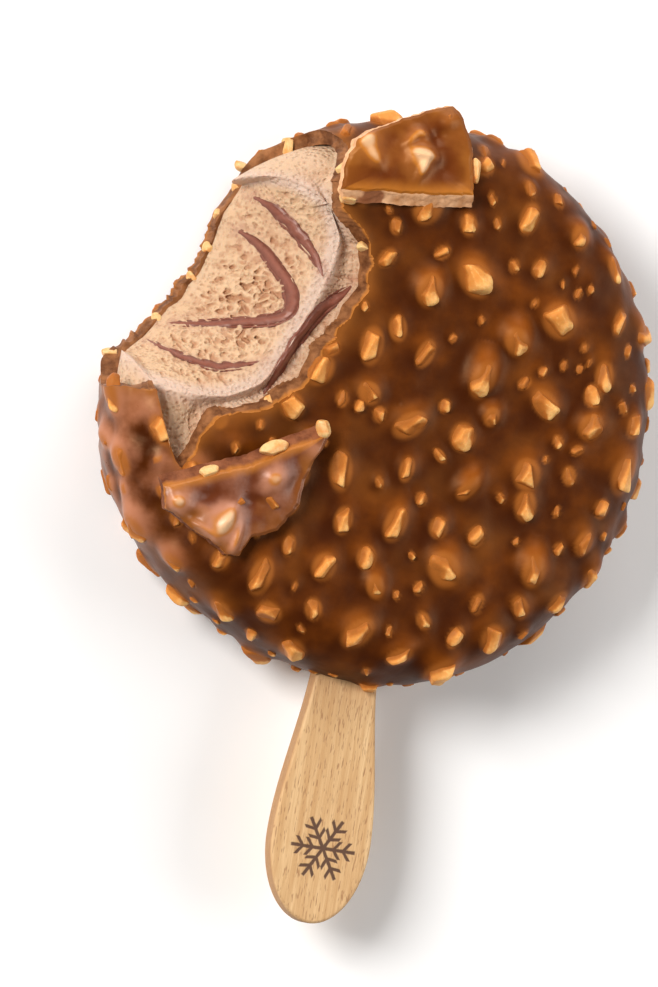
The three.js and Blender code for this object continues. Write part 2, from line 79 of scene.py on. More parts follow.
# The chopped nuts, by the rule of the solids.
NUT_SEED = 20
NUT_COUNT = 440
NUTS_IN_SOLID = 142
NUT_LONG = 5.8
NUT_SHORT = 1.3
NUT_FALL = 1.7  # the power by which their lengths fall with rank
NUT_CHOICES = 7  # random places that each nut tries
NUT_ROOM = 0.36  # what two nuts keep apart, as a share of their lengths together
NUT_TURN = math.radians(65)  # the most that a nut turns from the stick's direction
NUT_FACETS = (  # degrees from its long end, their spread, rise from and to, distance from and to
    (90, 25, 0.3, 0.75, 0.42, 0.66), (270, 25, 0.3, 0.75, 0.42, 0.66), (0, 40, -0.1, 0.6, 0.6, 0.85),
    (180, 40, -0.1, 0.6, 0.6, 0.85), (0, 180, 0.85, 1, 0.55, 0.8), (0, 180, -0.2, 0.3, 0.6, 0.9),
)
FACET_SOFTNESS = 20  # the power that joins a nut's facets: higher is sharper

# The chocolate film over the nuts.
FILM_REACH = 0.45  # past the nut on each side
FILM_DRIFT = 0.2  # towards the bar's top, as a share of the nut's length
FILM_STEEPNESS, FILM_POWER = 1.05, 1.3  # of its bell
NUT_SEEN_FROM, NUT_SEEN_TO = 1.5, 0.4  # squares of distances in half nuts, between which a nut shows
THIN_FILM = 0.9  # depth of film that hides a nut

# The bite, laid out round a point outside the rim: pairs of an angle in degrees and a distance.
BITE_BEARING = math.radians(157)
BITE_CENTRE = 40.0
BITE_SPAN = 78.0
FRONT_BREAK = (
    (-78, 22), (-66, 20.8), (-58, 20.4), (-55.5, 24), (-53, 28.8), (-51, 29.9), (-49, 29.1), (-45, 27.3),
    (-39, 25.2), (-28, 25.9), (-21, 27.1), (-6, 27.6), (1, 26.7), (6, 28.4), (16, 28.9), (22, 30.4), (33, 30),
    (36, 28.8), (44, 26.8), (52, 27.5), (59, 32), (78, 33),
)
BACK_BREAK = (
    (-78, 15.5), (-69, 13.8), (-55, 12.1), (-45, 11.3), (-32, 10), (-19, 9.3), (-7, 9.7), (4, 9.5),
    (16, 10.4), (26, 10.9), (33, 11.5), (44, 12.7), (52, 14), (57, 16.1), (62, 18.4), (67, 20.4), (78, 22),
)
FLOOR_LIP = (
    (-78, 11), (-62, 15), (-55, 18.1), (-43, 20.2), (-30, 22.5), (-18, 23.6), (-2, 23.2), (8, 23.1),
    (21, 24.3), (35, 26.1), (45, 25.6), (53, 23), (59, 20.6), (63, 18.3), (78, 12),
)
BREAK_STEPS = 66
BREAK_LEAN, BACK_BREAK_LEAN = 1.5, 0.6  # of the broken face through the front's thickness and the back's
BREAK_JAG = 0.35
WALL_BREAK_Z, WALL_BREAK_SHARE = 8.0, 0.7  # a height on the rim, and its share of the way from back to front
FLOOR_FOOT = 0.9  # how far the floor's foot stands back from the shell's broken edge
FLOOR_BULGE = 1.15  # the power of the way by which the floor falls
LIP_DROP, LIP_DROP_FROM, LIP_DROP_TO = 4.0, 42, 66  # how far, and over which degrees from the bite's middle
LIP_RISE = 0.3  # over the filling's face
LIP_SLOPE, LIP_SLOPE_AT_END = 3.5, 1.5  # how steeply the floor's surface goes on past the lip
LIP_ROUNDING, LIP_ROUNDING_AT_END = 2.0, 6.0
SHOULDER_RISE, SHOULDER_FALL, SHOULDER_ROUNDING = 1.2, 3.4, 1.5  # the limit over the face, less at the rim
BAND_BELOW = 0.12  # of the band beside the shell, under the filling's face
GUTTER = 1.3  # its depth beside the shell
CUT_TOP, CUT_BELOW = 45.0, -6.0  # heights at which the cutters end
FILL_INSET = SHELL - 0.04  # the filling meets the shell without a visible gap

# The ripples of sauce: node, width, line on the bite's floor.
RIPPLES = (
    ("ripple_upper", 1.35, ((-21.2, 25.5), (-17.9, 23), (-14.9, 19.8), (-12.2, 15.4))),
    (
        "ripple_middle", 1.6,
        ((-21.9, 20.6), (-18.8, 17.8), (-16.1, 13), (-16.6, 9.7), (-20.9, 7.9), (-30, 6.5)),
    ),
    ("ripple_lower", 1.15, ((-32.2, 4), (-27.6, 1.8), (-23.5, 1.4), (-18.7, 2.9))),
    ("ripple_lip", 1.8, ((-8, 14.9), (-12, 10.7), (-15.4, 4.8), (-18.1, -1.4))),
)

# The stick.
STICK_TOP, STICK_END = 5.0, -70.9
STICK_NECK, STICK_NECK_END = 8.6, -34.0
STICK_WIDEST, STICK_WIDEST_AT = 14.2, -59.5
STICK_SHIFT = 1.35
STICK_THICKNESS = 3.2

# The two broken pieces of coating: the node, the middle and the corners of the outer face, the underside's
# height and slopes, the way that the broken face leans, the patch of dark cocoa on it as x, y and radius, the
# humps as x, y, height and radius, and the folds as x, y, height, length, width and turn in degrees.
SHARDS = (
    {
        "node": "shard_top",
        "middle": (-3.6, 33.5),
        "corners": (
            (-13.5, 27.2), (-5, 28.2), (5.4, 29.6), (4.7, 35.6), (2.6, 40.2), (1.4, 41.3), (-2.5, 39.9),
            (-9.2, 36.3), (-11.9, 34.4), (-13.2, 30.2),
        ),
        "under": 19.2,
        "slope": (0, -0.17),
        "towards": (0.35, -0.94),
        "cocoa": (-8.6, 26.4, 1.7),
        "humps": ((-10.4, 34, 1.1, 2.4), (-3, 33.8, 1.3, 2.4), (0.6, 39.2, 0.7, 1.3)),
        "folds": (
            (-4.5, 35.8, 0.9, 1.5, 0.7, 45), (-3.0, 36.7, 0.7, 1.2, 0.7, -15),
            (-2.5, 33.9, 0.9, 2.0, 0.7, -8), (-2.4, 32.2, 0.9, 1.8, 0.7, 75),
            (-10.9, 34.6, 0.6, 1.6, 0.9, 35), (-9.2, 32.0, 0.6, 1.6, 0.9, -40),
            (-0.6, 36.6, -0.5, 1.2, 1.0, 30), (0.9, 32.6, -0.4, 1.4, 1.4, 0),
        ),
    },
    {
        "node": "shard_low",
        "middle": (-20, -15),
        "corners": (
            (-31.6, -16.3), (-30.7, -19), (-28, -20.6), (-24, -22.4), (-21.3, -23.7), (-19.5, -23.5),
            (-18.3, -21), (-14.6, -19.5), (-12.4, -15.5), (-11.6, -9.9), (-9.8, -5.3), (-20.6, -11.8),
        ),
        "under": 20.6,
        "slope": (-0.05, 0.11),
        "towards": (-0.46, 0.89),
        "cocoa": (-10.6, -6.8, 1.5),
        "humps": (
            (-29.4, -17.9, 1, 1.9), (-16.6, -12.9, 1.1, 2.2), (-22.6, -19.7, 1.3, 2.8), (-12, -8.2, 0.5, 1.6),
        ),
        "folds": (
            (-29.6, -18.0, 0.5, 1.2, 0.9, 10), (-22.4, -19.4, 0.6, 2.2, 0.8, 65),
            (-20.5, -22.0, 0.7, 2.0, 0.6, 80), (-25.4, -21.0, 0.5, 1.8, 0.5, -25),
            (-16.8, -12.7, 0.4, 1.4, 1.0, 30), (-24.9, -16.6, -0.5, 2.0, 1.2, 20),
            (-18.9, -16.3, -0.5, 1.4, 1.0, 0), (-13.4, -12.6, -0.3, 1.6, 0.8, 70),
            (-26.9, -19.6, -0.4, 1.0, 0.8, 0),
        ),
    },
)
SHARD_THICKNESS = 1.8
SHARD_BEVEL = 1.6
SHARD_STEP = 2.0
SHARD_JAG = 0.3

POOL_SIDE = (-0.32, -0.36, 0)  # the side of each nut where painted shade falls on the chocolate beside it, in its lengths
BARE_FLANK = (1.1, -0.7, 0.25)  # the side of each nut that is painted lighter, as if lit

# The burnt mark on the stick: its middle, its arms' length, half its line's width and its branches' starts.
MARK_X, MARK_Y, MARK_SIZE, MARK_LINE = STICK_SHIFT + 0.3, -60.6, 4.6, 0.24
MARK_BRANCHES = (1.5, 2.9)
DAMP_FROM, DAMP_TO = -46.0, -36.0  # along the stick, where a painted shadow of the bar darkens the wood beside it

# Tints of what the chocolate, the two shards and the sauce reflect.
WARM_SHEEN = (1, 0.6, 0.32, 1)
TOP_SHARD_SHEEN, LOW_SHARD_SHEEN = (0.85, 0.5, 0.25, 1), (1, 0.86, 0.8, 1)
SAUCE_SHEEN = (1, 0.74, 0.64, 1)

# Cut nuts that show in the broken edges of the shell: place, length, width, height, turn in degrees.
EDGE_NUTS = (
    ((-14.0, 29.2, 18.2), 2.6, 1.8, 1.9, 60), ((-17.3, 32.8, 6.5), 3.2, 2.2, 2.4, 10),
    ((-7.9, 20.3, 18.2), 2.4, 1.8, 1.9, 80), ((-10.2, 8.2, 18.2), 2.2, 1.6, 1.8, 50),
    ((-16.4, -3.6, 18.2), 2.6, 1.7, 1.8, 30), ((-22.5, 28.9, 2.4), 2.6, 1.8, 2.0, 70),
    ((-23.4, 25.6, 2.6), 2.0, 1.6, 1.8, 90), ((-24.7, 21.9, 2.4), 2.6, 1.8, 2.0, 65),
    ((-26.4, 17.3, 2.5), 2.9, 1.9, 2.0, 60), ((-28.0, 13.7, 2.4), 2.2, 1.6, 1.8, 55),
    ((-31.8, 9.1, 2.5), 2.8, 1.8, 1.9, 40), ((-36.2, -2.9, 3.2), 2.9, 2.0, 2.6, 100),
)
EDGE_NUT_DEPTH = 0.45  # of their middles behind the broken face
EDGE_NUT_RANK, SHARD_NUT_RANK = NUT_COUNT + 10, NUT_COUNT + 40  # where the ranks that seed their facets start

# The nuts of the shards in the same way: cut ones in the broken face, filmed ones on the outer face.
SHARD_CUT_NUTS = (
    ((-11.7, 26.2, 20.3), 2.8, 2.2, 1.9, 95), ((5.6, 33.1, 20.2), 3.6, 1.8, 2.0, 5),
    ((-25.7, -13.4, 22.3), 3.0, 2.2, 2.0, 117), ((-17.3, -8.9, 22.5), 4.3, 2.5, 2.3, 117),
    ((-11.0, -5.0, 22.8), 2.8, 2.2, 2.2, 20),
)
SHARD_FILMED_NUTS = (
    ((0.7, 39.3, 20.2), 1.6, 1.2, 1.0, 10), ((-16.3, -16.0, 22.2), 2.3, 1.8, 1.4, 50),
    ((-21.2, -16.9, 22.3), 2.8, 1.8, 1.4, -50),
)

# The camera looks down on the bar from a little to its left, as the photograph does.
IMAGE_HEIGHT = 987
PIXELS_PER_MM = 7.342
CAMERA_ROLL = math.radians(9.3)
CAMERA_TILT = math.radians(18)
CAMERA_DISTANCE = 1.0  # in metres
CAMERA_AIM = (-6.4, -11.92)  # to the right and up from a point on the bar's axis
CAMERA_AIM_Z = 10  # the height of that point
CAMERA_REACH = 20  # in metres, how far it sees
SENSOR = 36.0
LIGHT_AIM = (0, 0, 0.01)  # in metres
FLOOR_REACH = 3000.0  # from the bar to each side


# ---------------------------------------------------------------- numbers, noise and curves


def mix(a, b, share):
    """a where the share is 0, b where it is 1, and a straight line between."""
    return a + (b - a) * share


def smooth(low, high, value):
    """0 below low, 1 above high and an S-shaped rise between: t squared times 3 less 2 t."""
    share = np.clip((value - low) / (high - low), 0, 1)
    return share * share * (3 - 2 * share)


def smooth_least(a, b, radius):
    """The lesser of two surfaces, with their crease rounded over a radius."""
    share = np.clip(0.5 + 0.5 * (b - a) / radius, 0, 1)
    return mix(b, a, share) - radius * share * (1 - share)


def random_draws(seed):
    """Numbers from 0 to 1, the same on every run: a linear congruential generator."""
    state = seed

    def draw():
        nonlocal state
        state = (state * 1664525 + 1013904223) % 4294967296
        return state / 4294967296

    return draw


def noise(points, size, seed=0):
    """Smooth noise from -1 to 1: hashed numbers at a cubic lattice's corners, blended inside each cell."""
    cell = np.asarray(points, dtype=float) / size + 517.3 + 13.7 * seed
    base = np.floor(cell).astype(np.int64)
    part = cell - base
    part = part * part * (3 - 2 * part)
    total = np.zeros(cell.shape[:-1])
    for corner in range(8):
        step = np.array([corner & 1, corner >> 1 & 1, corner >> 2 & 1])
        share = np.prod(np.where(step, part, 1 - part), axis=-1)
        x, y, z = np.moveaxis(base + step, -1, 0)
        mark = (x * 73856093 ^ y * 19349663 ^ z * 83492791 ^ (seed + 1) * 2654435761) & 0xFFFFFFFF
        mark = ((mark ^ mark >> 13) * 1274126177) & 0xFFFFFFFF
        mark = ((mark ^ mark >> 16) * 2246822519) & 0xFFFFFFFF
        total += share * ((mark ^ mark >> 15) / 2147483648.0 - 1)
    return total


def table_value(pairs, place):
    """A value from pairs of place and value, in straight lines between them."""
    places, values = zip(*pairs)
    return np.interp(place, places, values)


def curve_through(corners, count):
    """Points on a Catmull-Rom curve: each stretch is the cubic that leaves and meets its corners along the
    line between the corner before and the corner after."""
    corners = np.asarray(corners, dtype=float)
    padded = np.vstack([2 * corners[0] - corners[1], corners, 2 * corners[-1] - corners[-2]])
    place = np.linspace(0, len(corners) - 1, count)
    stretch = np.minimum(place.astype(int), len(corners) - 2)
    t = (place - stretch)[:, None]
    a, b, c, d = (padded[stretch + shift] for shift in range(4))
    return 0.5 * (2 * b + (c - a) * t + (2 * a - 5 * b + 4 * c - d) * t**2 + (3 * b - a - 3 * c + d) * t**3)


def flat(x, y):
    """Points at height zero."""
    return np.stack([x, y, 0 * x], axis=-1)


def unit(vectors):
    """Vectors over their own lengths."""
    return vectors / np.linalg.norm(vectors, axis=-1, keepdims=True)


def side_of_path(path):
    """Unit vectors to the left of a flat path, from the differences of its points."""
    ahead = unit(np.gradient(path, axis=0))
    return np.stack([-ahead[:, 1], ahead[:, 0]], axis=1)


def right_of_outline(outline, reach):
    """Unit vectors to the right of a closed outline, from the points a reach before and after each."""
    ahead = np.roll(outline, -reach, axis=0) - np.roll(outline, reach, axis=0)
    return unit(np.stack([ahead[:, 1], -ahead[:, 0]], axis=1))


# ---------------------------------------------------------------- the bar's surfaces


def outline_waves(angle):
    """One, and a cosine for each slow wave of the bar's outline."""
    return 1 + sum(share * np.cos(count * angle + phase) for count, share, phase in OUTLINE_WAVES)


def bar_point(angle, station, inset=0.0):
    """The bar's surface: out from the axis to the shoulder on the faces, then a superellipse over the rim,
    times the slow waves of the outline."""
    radius, rounding, half = BAR_RADIUS - inset, RIM_ROUNDING - inset, HALF_THICKNESS - inset
    shoulder = radius - rounding
    lean = math.pi * np.clip(station - FACE_END, 0, 1)
    power = 2 / RIM_SQUARENESS
    sine, cosine = np.clip(np.sin(lean), 0, 1), np.cos(lean)
    on_rim = (station > FACE_END) & (station < RIM_END)
    on_face = np.where(station <= FACE_END, station, PROFILE_END - station)
    out = np.where(on_rim, shoulder + rounding * sine**power, shoulder * on_face)
    rim_height = np.sign(cosine) * np.abs(cosine) ** power
    up = half * np.where(on_rim, rim_height, np.where(station <= FACE_END, 1, -1))
    crown = np.where(up > 0, 1 - FACE_CROWN * (out / radius) ** 2, 1)
    out = out * outline_waves(angle)
    return np.stack([out * BAR_WIDER * np.cos(angle), out * np.sin(angle), MIDDLE_Z + up * crown], axis=-1)


def bar_normal(angle, station):
    """The outward normal, from two short steps along the surface."""
    step = 1e-3
    along = bar_point(angle, station + step) - bar_point(angle, station - step)
    around = bar_point(angle + step, station) - bar_point(angle - step, station)
    return unit(np.cross(along, around))


def bar_grid(face_rings, rim_rings, back_rings, around):
    """Stations from the front's middle over the rim to the back's, crossed with angles all the way round."""
    stations = np.concatenate([
        np.linspace(0, FACE_END, face_rings, endpoint=False)[1:],
        np.linspace(FACE_END, RIM_END, rim_rings, endpoint=False),
        np.linspace(RIM_END, PROFILE_END, back_rings, endpoint=False),
    ])
    return np.meshgrid(stations, TURN * np.arange(around) / around, indexing="ij")


def bar_body(rings, inset=0.0):
    """Points and faces of the whole bar from its rings, with a pole in the middle of both faces."""
    front, back = (bar_point(np.float64(0), np.float64(end), inset) for end in (0, PROFILE_END))
    return ringed(front, rings, back)


def front_height(x, y, inset):
    """Height of the bar's front over a place, falling round the rim to its middle."""
    radius, rounding, half = BAR_RADIUS - inset, RIM_ROUNDING - inset, HALF_THICKNESS - inset
    angle = np.arctan2(y, x / BAR_WIDER)
    out = np.hypot(x / BAR_WIDER, y) / outline_waves(angle)
    over = np.clip((out - radius + rounding) / rounding, 0, 1)
    crown = 1 - FACE_CROWN * (out / radius) ** 2
    return MIDDLE_Z + half * crown * (1 - over**RIM_SQUARENESS) ** (1 / RIM_SQUARENESS)


def from_bite(angle, distance):
    """A place seen from the bite's centre, in the bar's X and Y."""
    out = BITE_CENTRE - distance * np.cos(angle)
    along = distance * np.sin(angle)
    bearing_x, bearing_y = math.cos(BITE_BEARING), math.sin(BITE_BEARING)
    return out * bearing_x + along * bearing_y, out * bearing_y - along * bearing_x


def to_bite(x, y):
    """The angle and the distance at which the bite's centre sees a place."""
    bearing_x, bearing_y = math.cos(BITE_BEARING), math.sin(BITE_BEARING)
    ahead = BITE_CENTRE - (x * bearing_x + y * bearing_y)
    along = x * bearing_y - y * bearing_x
    return np.arctan2(along, ahead), np.hypot(along, ahead)


@functools.lru_cache
def break_jags():
    """The jags of the broken edge, in three rows of random numbers round the bite."""
    draw = random_draws(BREAK_STEPS)
    return np.array([BREAK_JAG * (2 * draw() - 1) for _ in range(3 * BREAK_STEPS)]).reshape(3, BREAK_STEPS)


def break_distance(angle, z):
    """Distance of the shell's broken face from the bite's centre: straight through the front, leaning through
    its thickness, then along the wall of the rim to the back, in straight lines between those heights."""
    degrees = np.degrees(angle)
    front, back = table_value(FRONT_BREAK, degrees), table_value(BACK_BREAK, degrees)
    steps = np.linspace(-BITE_SPAN, BITE_SPAN, BREAK_STEPS)
    upper, wall, lower = (np.interp(degrees, steps, row) for row in break_jags())
    rows = (
        (BACK_Z - 2, back - BACK_BREAK_LEAN + lower),
        (BACK_Z, back + lower),
        (BACK_Z + SHELL + 0.2, back + BACK_BREAK_LEAN + lower / 2),
        (WALL_BREAK_Z, mix(back, front, WALL_BREAK_SHARE) + wall),
        (FRONT_Z - SHELL - GAP, front - BREAK_LEAN + upper / 2),
        (FRONT_Z - SHELL / 2, front - BREAK_LEAN / 2 + wall),
        (FRONT_Z - 0.1, front + upper),
    )
    result = np.broadcast_to(rows[0][1], np.broadcast(angle, z).shape).astype(float)
    for (low, start), (high, end) in zip(rows, rows[1:]):
        share = np.clip((z - low) / (high - low), 0, 1)
        result = np.where(z > low, mix(start, end, share), result)
    return result


def floor_edges(angle):
    """Distances of the front break, the lip and the foot of the ice cream's floor."""
    degrees = np.degrees(angle)
    front, back = table_value(FRONT_BREAK, degrees), table_value(BACK_BREAK, degrees)
    lip = table_value(FLOOR_LIP, degrees)
    return front, lip, np.minimum(back + FLOOR_FOOT, lip - 1.5)


def floor_height(angle, distance):
    """Height of the bitten ice cream: a band with a gutter beside the shell, a rounded lip that drops at the
    bite's ends, and a floor that falls from the lip to its foot by a power of the way."""
    front, lip, foot = floor_edges(angle)
    x, y = from_bite(angle, distance)
    face = front_height(x, y, FILL_INSET)
    inner = front - BREAK_LEAN
    share = (inner - distance) / (inner - lip)
    on_face = 1 - smooth(BAR_RADIUS - 8, BAR_RADIUS - 3, np.hypot(x, y))
    gutter = GUTTER * mix(0.8, 1, smooth(0, 0.25, share)) * (1 - smooth(0.3, 0.95, share))
    band = face - BAND_BELOW - gutter * on_face
    way = (lip - distance) / (lip - foot)
    lip_x, lip_y = from_bite(angle, lip)
    at_end = smooth(LIP_DROP_FROM, LIP_DROP_TO, np.abs(np.degrees(angle)))
    lip_height = front_height(lip_x, lip_y, FILL_INSET) + LIP_RISE - LIP_DROP * at_end
    fall = np.sign(way) * np.abs(way) ** FLOOR_BULGE
    floor = mix(lip_height, BACK_Z + FILL_INSET, np.maximum(fall, -1))
    floor = floor + mix(LIP_SLOPE, LIP_SLOPE_AT_END, at_end) * np.maximum(0, distance - lip)
    at_rim = smooth(BAR_RADIUS - 12, BAR_RADIUS - 3, np.hypot(x, y))
    shoulder = face + SHOULDER_RISE - SHOULDER_FALL * at_rim
    lipped = smooth_least(band, floor, mix(LIP_ROUNDING, LIP_ROUNDING_AT_END, at_end))
    return smooth_least(lipped, shoulder, SHOULDER_ROUNDING)


@functools.cache
def ripple_paths():
    """Points close together along all the ripples."""
    return np.vstack([curve_through(line, 40) for _, _, line in RIPPLES])


def floor_grain(x, y):
    """Fine relief of the bitten ice cream: crumbs in the middle of the floor, rows of pores round them,
    fibres in the band beside the shell, and less of it all on the lip and beside the ripples."""
    angle, distance = to_bite(x, y)
    _, lip, foot = floor_edges(angle)
    way = (lip - distance) / (lip - foot)
    degrees = np.degrees(angle)
    place = flat(x, y)
    off_middle = np.abs(degrees + 8)
    crumbly = smooth(0.12, 0.3, way) * (1 - smooth(0.76, 0.92, way)) * (1 - smooth(26, 44, off_middle))
    crumbly = crumbly * np.clip(0.8 + 0.5 * noise(place, 5, 4), 0, 1)
    drift = flat(noise(place, 0.9, 15), noise(place, 0.9, 16))
    warped = flat(0.8 * x + 0.6 * y, 0.8 * y - 0.6 * x) + 0.35 * drift
    crumbs = 0.5 - 0.9 * np.abs(noise(warped, 1.2, 7)) - 1.3 * np.abs(noise(warped, 0.62, 9))
    rows = flat(degrees / 1.7, distance / 0.55 + noise(place, 4, 14))
    pores = -0.34 * smooth(0.05, 0.6, noise(rows, 1, 13)) - 0.2 * smooth(0.0, 0.8, noise(place, 0.6, 11))
    waves = 0.22 * noise(place, 4.5, 2)
    fibres = flat(degrees / 1.1 + 1.5 * noise(place, 2.5, 22), distance / 5)
    in_band = smooth(0.6, 1.6, distance - lip)
    radial = -0.3 * np.abs(noise(fibres, 1, 21)) - 0.2 * np.abs(noise(fibres, 0.5, 23))
    radial = radial * smooth(70, 45, np.abs(degrees))
    to_ripple = np.full(x.shape, np.inf)
    for ripple_x, ripple_y in ripple_paths():
        to_ripple = np.minimum(to_ripple, (x - ripple_x) ** 2 + (y - ripple_y) ** 2)
    off_lip = 1 - 0.9 * np.exp(-(((distance - lip) / 1.4) ** 2))
    off_ripple = 1 - 0.75 * np.exp(-to_ripple / 1.3**2)
    off_foot = 1 - 0.8 * smooth(0.82, 0.95, way)
    on_floor = waves + pores * (1 - in_band) * off_foot + crumbly * crumbs
    return off_lip * off_ripple * on_floor + in_band * radial


# ---------------------------------------------------------------- nuts


@functools.lru_cache
def nut_places():
    """Each nut takes the freest of a few random places on the bar, and is left out if that one has no room.
    Returns arrays by name, largest nut first."""
    draw = random_draws(NUT_SEED)
    spots = np.zeros((0, 3))
    lengths = np.zeros(0)
    rows = []
    for rank in range(NUT_COUNT):
        length = mix(NUT_SHORT, NUT_LONG, (1 - rank / NUT_COUNT) ** NUT_FALL)
        best_room = -math.inf
        choice = 0
        while choice < NUT_CHOICES:
            angle, station = TURN * draw(), PROFILE_END * draw()
            point = bar_point(np.float64(angle), np.float64(station))
            if draw() > math.hypot(point[0], point[1]) / BAR_RADIUS:
                continue
            choice += 1
            away = np.linalg.norm(spots - point, axis=1) - NUT_ROOM * (length + lengths)
            room = away.min() if len(away) else math.inf
            if room > best_room:
                best_room, place = room, (angle, station, point)
        turn = NUT_TURN * (draw() - draw())
        width = length * mix(0.55, 0.9, draw())
        height = width * mix(0.7, 0.95, draw())
        lift = height * mix(0.04, 0.2, draw())
        if best_room > 0:
            angle, station, point = place
            spots = np.vstack([spots, point])
            lengths = np.append(lengths, length)
            rows.append((rank, angle, station, turn, length, width, height, lift))
    rank, angle, station, turn, length, width, height, lift = np.array(rows).T
    normal = bar_normal(angle, station)
    return placed_nuts(rank, spots, normal, turn, length, width, height, lift)


def placed_nuts(rank, centre, normal, turn, length, width, height, lift):
    """Adds each nut's own axes: the length lies along the stick's axis, turned about the normal."""

    def flattened(vector):
        return vector - (normal @ vector)[:, None] * normal

    axis = flattened(np.array([0.0, 1.0, 0.0]))
    short = np.linalg.norm(axis, axis=1) < 0.3
    axis[short] = flattened(np.array([1.0, 0.0, 0.0]))[short]
    axis = unit(axis)
    turned = np.cos(turn)[:, None] * axis + np.sin(turn)[:, None] * np.cross(normal, axis)
    across = np.cross(normal, turned)
    return {
        "rank": rank.astype(int), "centre": centre, "normal": normal, "axis": turned, "across": across,
        "length": length, "width": width, "height": height, "lift": lift,
    }


@functools.lru_cache
def film_cover():
    """How far up each nut the chocolate reaches, in its heights: a seeded draw, and less on small nuts."""
    draw = random_draws(NUT_SEED + 1)
    cover = np.array([mix(0.25, 1.0, draw() ** 1.5) for _ in nut_places()["length"]])
    return cover * np.clip(nut_places()["length"] / 3.5, 0.6, 1)


def film_field(points):
    """The chocolate over the bar's plain surface. Over each nut it is a bell in the nut's own axes, drawn a
    little towards the top of the bar, and the bells join by the cube root of the sum of their cubes. Noise is
    added, with more of it on the bar's left. Returns the height, how thin the film is over a nut and how
    much painted shade falls on the chocolate beside one, both from 0 to 1."""
    nuts = nut_places()
    reach_up = nuts["lift"] + 0.4 * nuts["height"]
    top = film_cover() * reach_up
    shift_along = FILM_DRIFT * nuts["length"] * nuts["axis"][:, 1]
    shift_across = FILM_DRIFT * nuts["length"] * nuts["across"][:, 1]
    cubes, pool = np.zeros(len(points)), np.zeros(len(points))
    over_nuts = []
    for index, centre in enumerate(nuts["centre"]):
        length, width = nuts["length"][index], nuts["width"][index]
        near = np.flatnonzero(np.all(np.abs(points - centre) < 0.5 * length + 2.4, axis=1))
        away = points[near] - centre
        along, across = away @ nuts["axis"][index], away @ nuts["across"][index]
        squared = ((along - shift_along[index]) / (length / 2 + FILM_REACH)) ** 2
        squared += ((across - shift_across[index]) / (width / 2 + FILM_REACH)) ** 2
        cubes[near] += (top[index] * np.exp(-FILM_STEEPNESS * squared**FILM_POWER)) ** 3
        # Painted shade: the chocolate on each nut's lower left is darkened as if the nut shaded it.
        beside = np.linalg.norm(away - length * np.array(POOL_SIDE), axis=1) / (0.32 * length + 0.5)
        pool[near] = np.maximum(pool[near], np.exp(-(beside**2)))
        inside = (2 * along / length) ** 2 + (2 * across / width) ** 2
        near, inside = near[inside < NUT_SEEN_FROM], inside[inside < NUT_SEEN_FROM]
        nut_height = nuts["lift"][index] + 0.36 * nuts["height"][index] * np.sqrt(np.clip(1 - inside, 0, 1))
        over_nuts.append((near, nut_height, smooth(NUT_SEEN_FROM, NUT_SEEN_TO, inside)))
    height = np.cbrt(cubes)
    thin = np.zeros(len(points))
    for near, nut_height, is_over in over_nuts:
        film = np.clip((height[near] - nut_height) / THIN_FILM, 0, 1)
        thin[near] = np.maximum(thin[near], is_over * (1 - film))
    left = smooth(-18, -34, points[:, 0])
    height += 0.2 * noise(points, 7, 1) + 0.1 * noise(points, 2.4, 3)
    height += 0.7 * left * np.abs(noise(points, 4.5, 8))
    return height, thin, pool * (1 - thin)


def ball(subdivisions):
    """Corners and faces of a unit ball of triangles."""
    made = bmesh.new()
    bmesh.ops.create_icosphere(made, subdivisions=subdivisions, radius=1)
    corners = np.array([vert.co[:] for vert in made.verts])
    faces = np.array([[vert.index for vert in face.verts] for face in made.faces])
    made.free()
    return corners, faces


def nut_points(nuts, corners):
    """Chips of nut: a ball cut back to random facets, where one over the reach in a direction is the root
    of a sum of the facets' high powers, then stretched and laid along its axes. Returns the points and how
    close each is to a ridge between two facets, where a painted highlight goes."""
    facing, distance = [], []
    for rank in nuts["rank"]:
        draw = random_draws(NUT_SEED + 7919 * (int(rank) + 1))
        for middle, spread, low, high, near, far in NUT_FACETS:
            around = math.radians(middle + spread * (2 * draw() - 1))
            up = mix(low, high, draw())
            level = math.sqrt(1 - up * up)
            facing.append((level * math.cos(around), level * math.sin(around), up))
            distance.append(mix(near, far, draw()))
    count = len(nuts["rank"])
    facing = np.array(facing).reshape(count, -1, 3)
    distance = np.array(distance).reshape(count, 1, -1)
    lean = np.einsum("vk,nfk->nvf", corners, facing)
    ratio = np.where(lean > 0.05, lean / distance, 0)
    reach = (1 + np.sum(ratio**FACET_SOFTNESS, axis=2)) ** (-1 / FACET_SOFTNESS)
    ordered = np.sort(ratio, axis=2)
    nearest, next_nearest = ordered[..., -1], ordered[..., -2]
    ridge = 1 - smooth(0.02, 0.16, (nearest - np.maximum(next_nearest, 1)) / nearest.clip(1))
    ridge = ridge * (nearest > 1) * smooth(-0.1, 0.35, corners[:, 2])
    local = corners[None] * reach[:, :, None]
    local = local * np.stack([nuts["length"], nuts["width"], nuts["height"]], axis=1)[:, None, :] / 2
    world = nuts["centre"][:, None] + nuts["lift"][:, None, None] * nuts["normal"][:, None]
    for index, name in enumerate(("axis", "across", "normal")):
        world = world + local[:, :, index:index + 1] * nuts[name][:, None]
    bumps = 0.05 * noise(world, 0.9, 5) + 0.025 * noise(world, 0.4, 6)
    return world + bumps[:, :, None] * (world - nuts["centre"][:, None]) / 1.5, ridge


def nut_flank(points, nuts):
    """How far each point lies down and right of its nut's middle, from 0 to 1: the side that is painted
    lighter, as if lit.
    """
    away = (points - nuts["centre"][:, None]) / nuts["width"][:, None, None]
    return np.clip(0.25 + away @ np.array(BARE_FLANK), 0, 1)


def listed_nuts(rows, first_rank):
    """Nuts from rows of place, length, width, height and turn in degrees, lying level."""
    centre, length, width, height, turn = (np.array(column, dtype=float) for column in zip(*rows))
    count = len(rows)
    normal = np.tile([0.0, 0.0, 1.0], (count, 1))
    rank = first_rank + np.arange(count)
    return placed_nuts(rank, centre, normal, np.radians(turn), length, width, height, np.zeros(count))


